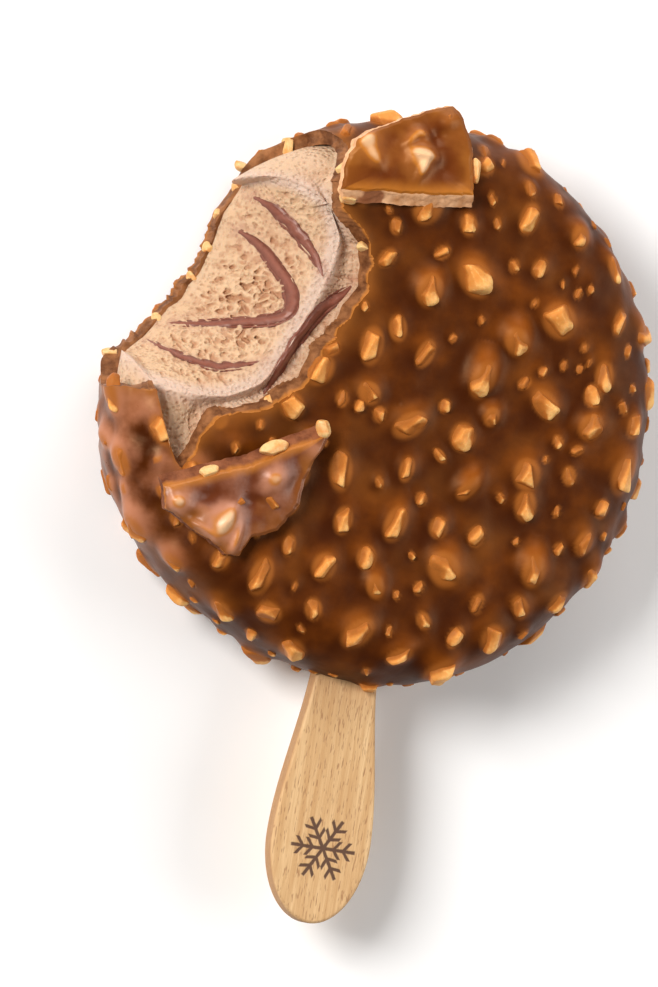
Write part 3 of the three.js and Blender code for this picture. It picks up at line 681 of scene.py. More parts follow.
def nut_piece(name, material, points, faces, **attributes):
    """One piece from the points of many nuts, which all have a ball's faces, with numbers for its points."""
    count, corners = points.shape[:2]
    all_faces = faces[None] + corners * np.arange(count)[:, None, None]
    piece = make_object(name, points.reshape(-1, 3), [all_faces.reshape(-1, 3)], [material])
    numbers = {key: np.broadcast_to(value, (count, corners)).ravel() for key, value in attributes.items()}
    finish_piece(piece, "hazelnut", 60, **numbers)


# ---------------------------------------------------------------- meshes


def ring_faces(rings, around):
    """Faces of a closed surface of rings between two poles: the first point and the last."""
    column = np.arange(around)
    beside = (column + 1) % around
    first = np.stack([0 * column, 1 + column, 1 + beside], axis=1)
    last_start = 1 + (rings - 1) * around
    last = np.stack([last_start + column, 0 * column + 1 + rings * around, last_start + beside], axis=1)
    row = (1 + np.arange(rings - 1) * around)[:, None]
    quads = np.stack([row + column, row + around + column, row + around + beside, row + beside], axis=-1)
    return [first, quads.reshape(-1, 4), last]


def ringed(first, rings, last):
    """Points and faces of a closed surface from its first pole, rings of points and last pole."""
    points = np.vstack([np.reshape(first, (1, 3)), rings.reshape(-1, 3), np.reshape(last, (1, 3))])
    return points, ring_faces(rings.shape[0], rings.shape[1])


def make_object(name, points, faces, materials):
    """A mesh object from points in millimetres and groups of faces of one size each, with smooth shading."""
    mesh = bpy.data.meshes.new(name)
    groups = [np.asarray(group, dtype=np.int32) for group in faces if len(group)]
    loops = np.concatenate([group.ravel() for group in groups])
    sizes = np.concatenate([np.full(len(group), group.shape[1]) for group in groups])
    mesh.vertices.add(len(points))
    mesh.vertices.foreach_set("co", (np.asarray(points) * MM).ravel())
    mesh.loops.add(len(loops))
    mesh.loops.foreach_set("vertex_index", loops)
    mesh.polygons.add(len(sizes))
    mesh.polygons.foreach_set("loop_start", np.concatenate([[0], np.cumsum(sizes)[:-1]]).astype(np.int32))
    mesh.update(calc_edges=True)
    mesh.validate()
    for material in materials:
        mesh.materials.append(material)
    made = bpy.data.objects.new(name, mesh)
    bpy.context.scene.collection.objects.link(made)
    return made


def mesh_points(piece):
    """The mesh's points in millimetres."""
    points = np.empty(3 * len(piece.data.vertices))
    piece.data.vertices.foreach_get("co", points)
    return points.reshape(-1, 3) / MM


def cut_away(piece, cutter):
    """Takes the cutter's closed body out of the piece's, and the faces that it cuts get its material."""
    modifier = piece.modifiers.new("cut", "BOOLEAN")
    modifier.operation = "DIFFERENCE"
    modifier.solver = "MANIFOLD"
    modifier.material_mode = "TRANSFER"
    modifier.object = cutter
    graph = bpy.context.evaluated_depsgraph_get()
    result = bpy.data.meshes.new_from_object(piece.evaluated_get(graph))
    piece.modifiers.clear()
    before = piece.data
    piece.data = result
    bpy.data.meshes.remove(before)
    bpy.data.objects.remove(cutter)
    if len(piece.data.polygons) < 100:
        raise RuntimeError(f"the cut left nothing of {piece.name}")


def finish_piece(piece, slot, sharp_degrees, *nodes, **attributes):
    """Gives the piece's points the numbers that its material reads, and shades it smooth but for edges that
    fold by more than an angle. Rides it on the bar and hides the solids that it stands for. The slot, the
    name of its finish, is not used."""
    for name, values in attributes.items():
        attribute = piece.data.attributes.new(name, "FLOAT", "POINT")
        attribute.data.foreach_set("value", np.asarray(values, dtype=np.float32))
    piece.data.shade_smooth()
    piece.data.set_sharp_from_angle(angle=math.radians(sharp_degrees))
    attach(piece, "root")
    if nodes:
        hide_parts(*nodes)


# ---------------------------------------------------------------- materials


class Value:
    """An output of a node tree, used in Python expressions that add Math nodes."""

    def __init__(self, finish, output):
        self.finish = finish
        self.output = output

    def _math(self, operation, first, second=None):
        sockets = {0: first} if second is None else {0: first, 1: second}
        return self.finish.node("ShaderNodeMath", sockets, operation=operation)

    def __add__(self, other):
        return self._math("ADD", self, other)

    def __sub__(self, other):
        return self._math("SUBTRACT", self, other)

    def __rsub__(self, other):
        return self._math("SUBTRACT", other, self)

    def __mul__(self, other):
        return self._math("MULTIPLY", self, other)

    def __truediv__(self, other):
        return self._math("DIVIDE", self, other)

    def __pow__(self, other):
        return self._math("POWER", self, other)

    def absolute(self):
        return self._math("ABSOLUTE", self)

    def rise(self, low, high):
        """0 below low, 1 above high and a smooth rise between."""
        sockets = {"Value": self, "From Min": low, "From Max": high}
        return self.finish.node("ShaderNodeMapRange", sockets, interpolation_type="SMOOTHSTEP")

    __radd__ = __add__


class Finish:
    """A material in the making."""

    def __init__(self, name):
        self.material = bpy.data.materials.new(name)
        self.material.use_nodes = True
        self.tree = self.material.node_tree
        self.tree.nodes.clear()

    def node(self, kind, sockets=(), output=0, **settings):
        """Adds a node. Its settings come first, with a ramp's stops, then its sockets' values or links."""
        node = self.tree.nodes.new(kind)
        stops = settings.pop("stops", None)
        for name, value in settings.items():
            setattr(node, name, value)
        if stops:
            elements = node.color_ramp.elements
            while len(elements) < len(stops):
                elements.new(0.5)
            for element, (position, colour) in zip(elements, stops):
                element.position = position
                element.color = (*colour, 1)
        for name, value in dict(sockets).items():
            if isinstance(value, Value):
                self.tree.links.new(value.output, node.inputs[name])
            else:
                node.inputs[name].default_value = value
        return Value(self, node.outputs[output]) if len(node.outputs) else None

    def place(self, scale=(1, 1, 1), turn=0.0):
        """Object coordinates in millimetres, stretched along the axes and turned about Z."""
        sockets = {"Rotation": (0, 0, turn), "Scale": tuple(part / MM for part in scale)}
        sockets["Vector"] = self.node("ShaderNodeTexCoord", output=3)
        return self.node("ShaderNodeMapping", sockets)

    def along(self, axis):
        """One Object coordinate in millimetres."""
        return self.node("ShaderNodeSeparateXYZ", {0: self.node("ShaderNodeTexCoord", output=3)}, axis) / MM

    def noise(self, size, detail=2.0, roughness=0.5, distortion=0.0, place=None):
        """Noise from 0 to 1 with blotches of a size in millimetres."""
        sockets = {"Scale": 1 / size, "Detail": detail, "Roughness": roughness, "Distortion": distortion}
        return self.node("ShaderNodeTexNoise", {"Vector": place or self.place(), **sockets})

    def cells(self, size):
        """Distance to the nearest of scattered points, in sizes."""
        return self.node("ShaderNodeTexVoronoi", {"Vector": self.place(), "Scale": 1 / size})

    def attribute(self, name):
        return self.node("ShaderNodeAttribute", output=2, attribute_name=name)

    def colour(self, share, first, second):
        """Two colours or colour links mixed by a share."""
        first, second = (part if isinstance(part, Value) else (*part, 1) for part in (first, second))
        return self.node("ShaderNodeMix", {0: share, 6: first, 7: second}, 2, data_type="RGBA")

    def layers(self, base, *layers):
        """A base colour with more colours over it, each by its share."""
        for share, colour in layers:
            base = self.colour(share, base, colour)
        return base

    def ramp(self, value, stops):
        return self.node("ShaderNodeValToRGB", {"Fac": value}, stops=stops)

    def bump(self, height, depth, strength=1.0, normal=None):
        """A normal from a height, whose 0 to 1 is a depth in millimetres."""
        sockets = {"Height": height, "Distance": depth * MM, "Strength": strength}
        if normal:
            sockets["Normal"] = normal
        return self.node("ShaderNodeBump", sockets)

    def surface(self, **sockets):
        """Ends the material in a Principled shader, whose sockets are named with _ for a space."""
        named = {name.replace("_", " "): value for name, value in sockets.items()}
        shader = self.node("ShaderNodeBsdfPrincipled", named)
        self.node("ShaderNodeOutputMaterial", {"Surface": shader})
        return self.material


def chocolate_finish(settings):
    """Milk chocolate: painted shade in the hollows and beside each nut, painted light on the rises, a painted
    mauve sheen on the left flank, a painted amber glow along the broken edge, amber where the film over a
    nut is thin and warm patches at random."""
    make = Finish("milk_chocolate")
    rise = make.attribute("rise")
    clouds = make.noise(1.6, 4, 0.6)
    blotch = make.noise(5.0, 3)
    # Painted light and shade: lighter on the rises of the film, darker in its hollows, with random tone mixed
    # in.
    lightness = (rise * 0.7 + blotch * 0.9 - 0.25).rise(0, 1)
    # Painted sheen: a mauve haze of reflected light on the left flank, patchy over the rises.
    hazy = make.attribute("sheen") * (blotch * 0.7 + clouds * 0.3 + rise * 0.9).rise(0.45, 1.2)
    base = make.layers(
        settings.deep,
        (lightness, settings.milk),
        (make.noise(9.0, 2, 0.4).rise(0.45, 0.8) * 0.4, settings.amber),
        # Painted shade beside each nut, in the dark chocolate colour.
        (make.attribute("pool") * 0.85, settings.deep),
        (hazy * 0.75, settings.mauve),
        ((make.attribute("thin") ** 1.3) * 0.9, settings.thin_film),
        # Painted glow: amber along the broken edge, as if light came through thin chocolate.
        (make.attribute("glow"), settings.amber),
    )
    grain = make.noise(0.35, 3, 0.6)
    waves = make.noise(1.7, 2, 0.5)
    normal = make.bump(waves, 0.12, 0.5, make.bump(grain, 0.02, 0.5))
    rough = settings.gloss_roughness + (clouds - 0.5) * 0.2 - make.attribute("sheen") * 0.16
    return make.surface(
        Base_Color=base, Roughness=rough, Normal=normal, Specular_IOR_Level=0.25, Specular_Tint=WARM_SHEEN
    )


def shard_finish(settings, name, high, tint):
    """A shard's outside: painted shade in the dips, painted light on the rises, a painted amber glow at its
    broken edge, amber where the film over a nut is thin and a painted cream highlight on its highest
    humps.
    """
    make = Finish(name)
    rise = make.attribute("rise")
    blotch = make.noise(2.6, 3)
    # Painted light and shade: lighter on the rises, darker in the dips, with random tone.
    lightness = (rise * 1.4 + (blotch - 0.5) * 0.7).rise(0.1, 1)
    warm = make.noise(4.0, 2, 0.4)
    # On a shard, thin follows the rise over its humps: amber where the film over a nut is thin, then a painted
    # highlight on the highest rises.
    thin = make.attribute("thin") + (blotch - 0.5) * 0.5
    base = make.layers(
        settings.shard_deep,
        (lightness, high),
        (warm.rise(0.5, 0.7) * 0.5, settings.amber),
        # Painted amber glow at the edge that faces the lean, and where the film over a nut is thin.
        (make.attribute("glow") * (warm * 0.6 + 0.4), settings.amber_edge),
        (thin.rise(0.15, 0.5) * 0.8, settings.amber_edge),
        (thin.rise(0.45, 1.0) * 0.85, settings.hump),
    )
    fine = make.noise(1.4, 2, 0.5)
    return make.surface(
        Base_Color=base, Roughness=0.3 + blotch * 0.15, Normal=make.bump(fine, 0.16, 0.5),
        Specular_IOR_Level=0.5, Specular_Tint=tint,
    )


def broken_finish(settings, name, dark, light, edge):
    """A broken face of the coating: cloudy and fine-grained, with painted shade in the hollows of its lumps, a
    painted glow at its thin edges and dark where it has cocoa.
    """
    make = Finish(name)
    lumps = make.noise(2.2, 4, 0.6)
    base = make.layers(
        getattr(settings, dark),
        # Painted shade: darker in the hollows of the lumps that also make the bump, lighter on their tops.
        (lumps.rise(0.3, 0.7), getattr(settings, light)),
        # Painted glow at the thin edges of the broken face.
        (make.attribute("rim") * 0.85, getattr(settings, edge)),
        (make.attribute("cocoa") * 0.9, settings.red_brown),
    )
    fine = make.noise(0.25, 3, 0.6)
    normal = make.bump(lumps, 0.3, 0.6, make.bump(fine, 0.04, 0.6))
    return make.surface(
        Base_Color=base, Roughness=0.45 + fine * 0.2, Normal=normal, Specular_IOR_Level=0.35,
        Specular_Tint=WARM_SHEEN,
    )


def nut_finish(settings):
    """Chopped roasted nut: chocolate where it leaves the film, then caramel and gold, with a painted highlight
    on its ridges and painted light on its lower right flank."""
    make = Finish("chopped_nut")
    bare = make.attribute("bare")
    tone = make.attribute("tone")
    patch = make.noise(1.1, 3, 0.6)
    flank = make.attribute("flank")
    # The lower right flank shifts the ramp lighter: painted light.
    level = bare * 1.05 + (patch - 0.5) * 0.6 + (tone - 0.5) * 0.45 + (flank - 0.4) * 0.5
    stops = (0.08, settings.thin_film), (0.45, settings.caramel), (0.9, settings.flesh)
    streak = make.noise(0.5, 3, 0.6)
    # Painted light: a pale wash on the lower right flank.
    clear = flank * level.rise(0.2, 0.8) * (streak + 0.4)
    # Painted highlight along the nut's upward ridges.
    lit = make.attribute("ridge") * level.rise(0.3, 0.9) * streak
    base = make.layers(
        make.ramp(level, stops),
        (clear.rise(0.2, 0.95) * 0.9, settings.ridge),
        (lit.rise(0.2, 0.8) * 0.6, settings.ridge),
    )
    normal = make.bump(streak, 0.08, 0.6, make.bump(patch, 0.14, 0.5))
    rough = 0.42 + patch * 0.2
    return make.surface(
        Base_Color=base, Roughness=rough, Normal=normal, Specular_IOR_Level=0.35, Specular_Tint=WARM_SHEEN,
        Subsurface_Weight=0.15, Subsurface_Radius=(1.0, 0.5, 0.2), Subsurface_Scale=0.0008,
    )


def cut_nut_finish(settings):
    """Nut flesh where a piece was cut through: cream with golden patches."""
    make = Finish("cut_nut")
    patch = make.noise(1.3, 3, 0.6)
    base = make.colour(patch.rise(0.35, 0.75), settings.cut_flesh, settings.flesh)
    fine = make.noise(0.25, 2)
    return make.surface(
        Base_Color=base, Roughness=0.5, Normal=make.bump(fine, 0.05, 0.5), Subsurface_Weight=0.15,
        Subsurface_Radius=(1.0, 0.6, 0.3), Subsurface_Scale=0.001,
    )


def ice_cream_finish(settings):
    """Airy ice cream: smooth on the lip with a painted highlight there, painted shade in the pores and the
    crevices of the grain, stained beside the ripples.
    """
    make = Finish("ice_cream")
    is_pale = make.attribute("pale")
    cloud = make.noise(3.4, 4, 0.6)
    holes = make.cells(0.62)
    patch = make.noise(1.2, 3, 0.6)
    is_hole = (1 - holes.rise(0.05, 0.5)) * (1 - is_pale) * patch.rise(0.25, 0.6)
    streak = make.noise(1.1, 3, 0.6)
    base = make.layers(
        settings.inner,
        # Painted highlight along the lip, with random clouds.
        ((is_pale + (cloud - 0.5) * 0.5).rise(0, 1), settings.pale),
        # Painted shade in the pores and in the low places of the grain.
        (is_hole * 0.6, settings.pore),
        (make.attribute("deep"), settings.pore),
        (make.attribute("stain") * streak.rise(0.25, 0.85), settings.stain),
    )
    fine = make.noise(0.24, 3, 0.7)
    normal = make.bump(holes.rise(0.05, 0.6), 0.2, 0.8, make.bump(fine, 0.12, 0.7))
    return make.surface(
        Base_Color=base, Roughness=0.62 - is_pale * 0.2, Normal=normal, Subsurface_Weight=0.25,
        Subsurface_Radius=(1.0, 0.55, 0.35), Subsurface_Scale=0.0007,
    )


def sauce_finish(settings):
    """Cocoa sauce drawn out in strands, with a painted highlight along their crests."""
    make = Finish("cocoa_sauce")
    strand = make.attribute("strand")
    cloud = make.noise(0.9, 3, 0.6)
    # Painted highlight on the crown of each strand, with random tone.
    lightness = (strand * 0.8 + (cloud - 0.5) * 0.8).rise(0, 1)
    base = make.colour(lightness, settings.sauce, settings.crest)
    return make.surface(
        Base_Color=base, Roughness=0.32 + cloud * 0.2, Normal=make.bump(cloud, 0.08, 0.5), Coat_Weight=0.15,
        Coat_Roughness=0.3, Subsurface_Weight=0.15, Subsurface_Scale=0.0006,
        Specular_Tint=SAUCE_SHEEN,
    )


def snowflake(make):
    """A six-armed burnt mark: the angle is folded into one arm, and the mark is where the folded place is
    close to the arm or to its two pairs of branches."""
    x = make.along(0) - MARK_X
    y = make.along(1) - MARK_Y
    radius = (x**2 + y**2) ** 0.5
    angle = make.node("ShaderNodeMath", {0: y, 1: x}, operation="ARCTAN2")
    arms = {0: angle + TURN / 12, 1: TURN / 6}
    folded = make.node("ShaderNodeMath", arms, operation="FLOORED_MODULO") - TURN / 12
    along = radius * make.node("ShaderNodeMath", {0: folded}, operation="COSINE")
    beside = (radius * make.node("ShaderNodeMath", {0: folded}, operation="SINE")).absolute()
    wobble = (make.noise(0.5, 2) - 0.5) * 0.14
    on_line = 1 - (beside + wobble).rise(MARK_LINE - 0.08, MARK_LINE + 0.08)
    mark = on_line * (1 - along.rise(MARK_SIZE - 0.1, MARK_SIZE + 0.1))
    for start in MARK_BRANCHES:
        off = (along - start - beside * 0.75).absolute()
        branch = (1 - (off + wobble).rise(MARK_LINE - 0.06, MARK_LINE + 0.12)) * (1 - beside.rise(1.15, 1.3))
        mark = make.node("ShaderNodeMath", {0: mark, 1: branch}, operation="MAXIMUM")
    return mark


def wood_finish(settings):
    """Raw beech: long soft grain, short dark flecks along it, darker sides, a painted shadow of the bar beside
    it and a burnt mark.
    """
    make = Finish("raw_beech")
    long_grain = make.noise(1.0, 4, 0.6, 0.3, make.place((1.5, 0.045, 1.5), 0.02))
    broad = make.noise(1.0, 2, 0.5, 0.0, make.place((0.3, 0.02, 0.3)))
    fibres = make.noise(1.0, 3, 0.6, 0.0, make.place((7, 0.25, 7), 0.02))
    flecks = make.noise(1.0, 1, 0.4, 0.0, make.place((5.5, 0.75, 5.5), 0.02))
    is_fleck = flecks.rise(0.6, 0.7)
    mark = snowflake(make) * make.attribute("front")
    base = make.layers(
        settings.wood,
        (long_grain.rise(0.3, 0.75), settings.grain),
        (broad.rise(0.35, 0.7) * 0.35, settings.grain),
        (fibres.rise(0.42, 0.7) * 0.55, settings.grain),
        (is_fleck * 0.85, settings.fleck),
        # Painted shadow: the wood darkens towards the bar, as if shaded by it.
        (make.along(1).rise(DAMP_FROM, DAMP_TO) * 0.45, settings.fleck),
        (make.attribute("side") * (fibres * 0.6 + 0.5), settings.fleck),
        (mark * 0.95, settings.burnt),
    )
    normal = make.bump(fibres - is_fleck * 0.5 - mark * 1.2, 0.07, 0.7)
    return make.surface(Base_Color=base, Roughness=0.58 + long_grain * 0.15, Normal=normal)


# ---------------------------------------------------------------- settings


def colour_setting(name, description, default):
    return bpy.props.FloatVectorProperty(
        name=name, description=description, default=default, size=3, min=0, max=1, subtype="COLOR"
    )


class ICEBAR_PG_coating(bpy.types.PropertyGroup):
    """The chocolate and the nuts in it."""

    # The milk colour is painted on the rises as light, the dark one in the hollows and beside the nuts as
    # shade, both mixed with random tone.
    milk: colour_setting("Milk chocolate", "Chocolate on the rises", (0.25, 0.06, 0.004))
    deep: colour_setting("Deep chocolate", "Chocolate in the hollows", (0.042, 0.0065, 0.0004))
    # Warm chocolate: random warm patches, and the painted glow along the broken edge.
    amber: colour_setting("Amber chocolate", "Chocolate in its warm patches", (0.27, 0.085, 0.014))
    thin_film: colour_setting("Thin film", "Chocolate where a nut shows through", (0.36, 0.11, 0.018))
    broken: colour_setting("Broken face", "Where the coating is broken through", (0.3, 0.12, 0.045))
    # Painted shade in the hollows of the broken faces.
    broken_deep: colour_setting("Deep broken face", "The broken face in its hollows", (0.085, 0.024, 0.007))
    # Painted glow: light through the coating's thin edges, painted amber.
    amber_edge: colour_setting("Amber edge", "Thin edges of the coating", (0.54, 0.185, 0.024))
    # Painted shade in the shards' dips.
    shard_deep: colour_setting("Deep shard", "The shards in their dips", (0.12, 0.023, 0.003))
    # Painted sheen: this mauve stands in for reflected light on the left flank and on the lower shard's rises.
    mauve: colour_setting("Mauve chocolate", "The lower shard's rises and the haze", (0.5, 0.21, 0.12))
    # Painted light on the upper shard's rises.
    milk_shard: colour_setting("Warm shard", "The upper shard on its rises", (0.3, 0.088, 0.017))
    # Painted highlight: cream on the shards' highest humps.
    hump: colour_setting("Hump", "The shards over their nuts", (0.82, 0.52, 0.29))
    # Painted shade in the lower shard's broken hollows.
    red_deep: colour_setting("Deep red-brown", "The lower shard's broken hollows", (0.09, 0.02, 0.008))
    red_brown: colour_setting("Red-brown", "The lower shard's broken face", (0.26, 0.085, 0.035))
    # Painted shade in the upper shard's broken hollows.
    tan_deep: colour_setting("Deep tan", "The upper shard's broken hollows", (0.52, 0.24, 0.1))
    broken_pale: colour_setting("Pale broken face", "Where the upper shard is broken", (0.8, 0.46, 0.25))
    gloss_roughness: bpy.props.FloatProperty(
        name="Roughness", description="Middle roughness of the chocolate", default=0.47, min=0.1, max=1,
        subtype="FACTOR",
    )
    caramel: colour_setting("Nut side", "Nut through a thin film", (0.46, 0.145, 0.024))
    flesh: colour_setting("Nut flesh", "Roasted nut", (0.72, 0.28, 0.06))
    # Painted highlight: the pale colour of the nuts' ridges and lit flanks.
    ridge: colour_setting("Nut ridge", "Nut on its ridges", (0.94, 0.56, 0.2))
    cut_flesh: colour_setting("Cut nut", "Nut that was cut through", (0.76, 0.5, 0.21))


class ICEBAR_PG_filling(bpy.types.PropertyGroup):
    """The ice cream and the sauce in it."""

    inner: colour_setting("Ice cream", "Bitten ice cream", (0.61, 0.395, 0.23))
    # The pale colour is a painted highlight along the lip; the pore colour is painted shade in the pores.
    pale: colour_setting("Pale ice cream", "Smooth ice cream on the lip", (0.6, 0.42, 0.315))
    pore: colour_setting("Pores", "Ice cream in its pores", (0.38, 0.15, 0.06))
    stain: colour_setting("Stain", "Ice cream beside the sauce", (0.4, 0.19, 0.12))
    sauce: colour_setting("Sauce", "Cocoa sauce", (0.12, 0.028, 0.014))
    # Painted highlight along the strands' crests.
    crest: colour_setting("Sauce crest", "Cocoa sauce on its strands", (0.24, 0.075, 0.045))


class ICEBAR_PG_stick(bpy.types.PropertyGroup):
    """The wooden stick."""

    wood: colour_setting("Wood", "Light wood", (0.79, 0.53, 0.27))
    grain: colour_setting("Grain", "Darker grain", (0.56, 0.31, 0.125))
    # The colour of the flecks, of the darker sides and of the bar's painted shadow on the wood.
    fleck: colour_setting("Flecks", "Short flecks along the grain", (0.4, 0.2, 0.08))
    burnt: colour_setting("Burnt mark", "The mark burnt into the stick", (0.08, 0.03, 0.015))
    edge: bpy.props.FloatProperty(
        name="Edge rounding", description="Radius of the stick's edges", default=0.0005, min=0.0001,
        max=0.0015, unit="LENGTH",
    )


class ICEBAR_PG_stage(bpy.types.PropertyGroup):
    """The floor, the light and the camera."""

    floor: colour_setting("Floor", "Colour of the floor", (0.97, 0.965, 0.96))
    key_power: bpy.props.FloatProperty(
        name="Key light", description="Power of the main light", default=6.6, min=0, unit="POWER"
    )
    fill_power: bpy.props.FloatProperty(
        name="Fill light", description="Power of the light across from it", default=2.8, min=0, unit="POWER"
    )
    rear_power: bpy.props.FloatProperty(
        name="Rear light", description="Power of the light beyond the bar", default=2.6, min=0, unit="POWER"
    )
    sky: bpy.props.FloatProperty(name="Sky", description="Strength of the even light", default=0.15, min=0)


# ---------------------------------------------------------------- pieces


def within(polygon, x, y):
    """True inside a flat polygon: a ray along X crosses its sides an odd number of times."""
    inside = np.zeros(np.shape(x), dtype=bool)
    for (x1, y1), (x2, y2) in zip(polygon, np.roll(polygon, -1, axis=0)):
        if y1 == y2:
            continue
        crosses = ((y1 > y) != (y2 > y)) & (x < x1 + (y - y1) / (y2 - y1) * (x2 - x1))
        inside ^= crosses
    return inside


def shard_underside(shard, x, y):
    """The plane that a shard's underside lies in."""
    (middle_x, middle_y), (slope_x, slope_y) = shard["middle"], shard["slope"]
    return shard["under"] + slope_x * (x - middle_x) + slope_y * (y - middle_y)


def pressed(points):
    """Points kept over the table and under the shards that lie on them."""
    x, y, z = np.moveaxis(points, -1, 0)
    z = np.maximum(z, 0.02)
    for shard in SHARDS:
        middle = np.array(shard["middle"])
        wider = middle + 1.06 * (np.array(shard["corners"]) - middle)
        below = shard_underside(shard, x, y) - 0.05
        z = np.where(within(wider, x, y) & (z > BACK_Z + SHELL), np.minimum(z, below), z)
    return np.stack([x, y, z], axis=-1)


def bite_cutter(distance_rows, angles, material):
    """A closed cutter round the bite's centre, from rows of distance and height and two poles on its axis."""
    rings = []
    for distance, height in distance_rows:
        x, y = from_bite(angles, distance)
        rings.append(np.stack([x, y, np.broadcast_to(height, x.shape)], axis=-1))
    centre_x, centre_y = from_bite(0.0, 0.0)
    points, faces = ringed((centre_x, centre_y, CUT_TOP), np.array(rings), (centre_x, centre_y, CUT_BELOW))
    return make_object("cutter", points, faces, [material])


def bite_angles(count):
    """Angles round the bite's centre, fine over its span, and the angle whose edges each one takes."""
    span = math.radians(BITE_SPAN)
    inside = np.linspace(-span, span, count)
    share = np.arange(1, 9) / 9
    outside = mix(span, TURN - span, share)
    return np.concatenate([inside, outside]), np.concatenate([inside, mix(span, -span, share)])


def shell_cutter(material):
    """What broke off the shell, with a face as grainy as broken chocolate."""
    angles, seen = bite_angles(560)
    through_front = np.linspace(FRONT_Z + 1.4, FRONT_Z - SHELL - 0.3, 18)
    on_wall, through_back = np.linspace(16, 4, 26), np.linspace(3.6, 0.1, 15)
    heights = np.concatenate([[FRONT_Z + 4], through_front, on_wall, through_back, [BACK_Z - 3.4]])
    front = table_value(FRONT_BREAK, np.degrees(seen))
    back = table_value(BACK_BREAK, np.degrees(seen))
    rows = [(front, CUT_TOP)]
    for height in heights:
        distance = break_distance(seen, np.full_like(seen, height))
        x, y = from_bite(angles, distance)
        place = np.stack([x, y, np.full_like(x, height)], axis=-1)
        plates = np.round(3.5 * noise(place * (1, 1, 0.6), 2.8, 34)) / 3.5
        grain = mix(0.35, 0.8, smooth(6, 14, height)) * plates
        grain = grain + 0.14 * noise(place, 1.6, 31) + 0.06 * noise(place, 0.7, 32)
        rows.append((distance + grain, height))
    rows.append((back / 2, CUT_BELOW))
    return bite_cutter(rows, angles, material)


def coating_mesh(outside, broken):
    """The shell: the bar's surface raised by the film, less the bar moved in by the shell, less the bite."""
    station, angle = bar_grid(*COAT_GRID)
    points = bar_point(angle, station)
    height, _, _ = film_field(points.reshape(-1, 3))
    points, faces = bar_body(points + bar_normal(angle, station) * height.reshape(station.shape)[..., None])
    coat = make_object("coating_shell", pressed(points), faces, [outside])
    station, angle = bar_grid(*CORE_GRID)
    cut_away(coat, make_object("core", *bar_body(bar_point(angle, station, SHELL), SHELL), [broken]))
    cut_away(coat, shell_cutter(broken))
    return coat


class ICEBAR_OT_coating(bpy.types.Operator):
    """Makes the chocolate shell with its melted film round the nuts and its broken edge"""

    bl_idname = "icebar.coating"
    bl_label = "Chocolate coating"

    def execute(self, context):
        settings = context.scene.icebar_coating
        outside = chocolate_finish(settings)
        broken = broken_finish(settings, "broken_coating", "broken_deep", "broken", "amber_edge")
        coat = coating_mesh(outside, broken)
        height, thin, pool = film_field(mesh_points(coat))
        x, y, z = mesh_points(coat).T
        angle, distance = to_bite(x, y)
        front_rim, back_rim = smooth(0.35, 0.0, FRONT_Z - 0.2 - z), smooth(0.9, 0.2, z - BACK_Z)
        finish_piece(
            coat, "chocolate_coating", 50, "coating",
            rise=np.clip(height / 1.1, 0, 1), thin=thin, pool=pool, sheen=smooth(-20, -36, x),
            # Painted amber glow near the break and at the thin edges of the broken face.
            glow=0.7 * np.exp(-np.clip((distance - break_distance(angle, z)) / 1.2, 0, 9)),
            rim=0.8 * front_rim + 0.5 * back_rim,
        )
        return {"FINISHED"}


def bite_kept(points):
    """Points moved out of the bite to just behind its broken face."""
    angle, distance = to_bite(points[..., 0], points[..., 1])
    limit = break_distance(angle, points[..., 2]) + 0.15
    inside = (distance < limit) & (np.abs(np.degrees(angle)) < BITE_SPAN - 8)
    x, y = from_bite(angle, np.where(inside, limit, distance))
    return np.stack([x, y, points[..., 2]], axis=-1)


class ICEBAR_OT_nuts(bpy.types.Operator):
    """Makes the chopped nuts in the coating, the large ones in one piece and the small ones in another"""

    bl_idname = "icebar.nuts"
    bl_label = "Chopped nuts"

    def execute(self, context):
        settings = context.scene.icebar_coating
        material = nut_finish(settings)
        places = nut_places()
        angle, distance = to_bite(places["centre"][:, 0], places["centre"][:, 1])
        limit = break_distance(angle, places["centre"][:, 2])
        kept = (distance > limit + 0.1 * places["length"]) | (np.abs(np.degrees(angle)) > BITE_SPAN)
        for name, is_large, subdivisions in (("large", True, 4), ("small", False, 3)):
            chosen = np.flatnonzero(kept & ((places["rank"] < NUTS_IN_SOLID) == is_large))
            nuts = {key: value[chosen] for key, value in places.items()}
            corners, faces = ball(subdivisions)
            points, ridge = nut_points(nuts, corners)
            points = pressed(bite_kept(points))
            film, _, _ = film_field(points.reshape(-1, 3))
            above = np.einsum("nvk,nk->nv", points - nuts["centre"][:, None], nuts["normal"])
            draw = random_draws(NUT_SEED + 2)
            tones = np.array([draw() for _ in chosen])
            bare = np.clip((above - film.reshape(above.shape)) / 0.7, 0, 1)
            nut_piece(
                f"nuts_{name}", material, points, faces, bare=bare, ridge=ridge,
                flank=nut_flank(points, nuts), tone=tones[:, None],
            )

        # The cut nuts in the broken edges of the shell.
        nuts = listed_nuts(EDGE_NUTS, EDGE_NUT_RANK)
        centre = nuts["centre"]
        angle, _ = to_bite(centre[:, 0], centre[:, 1])
        centre[:, 0], centre[:, 1] = from_bite(angle, break_distance(angle, centre[:, 2]) + EDGE_NUT_DEPTH)
        corners, faces = ball(4)
        nut_piece("nuts_edge", cut_nut_finish(settings), pressed(nut_points(nuts, corners)[0]), faces)
        return {"FINISHED"}


def line_distance(x, y, line):
    """Distance of places to a line of points."""
    path = curve_through(line, 60)
    place = np.stack([x, y], axis=-1)
    least = np.full(x.shape, np.inf)
    for start, end in zip(path, path[1:]):
        along = end - start
        share = np.clip((place - start) @ along / (along @ along), 0, 1)
        least = np.minimum(least, np.linalg.norm(place - start - share[..., None] * along, axis=-1))
    return least


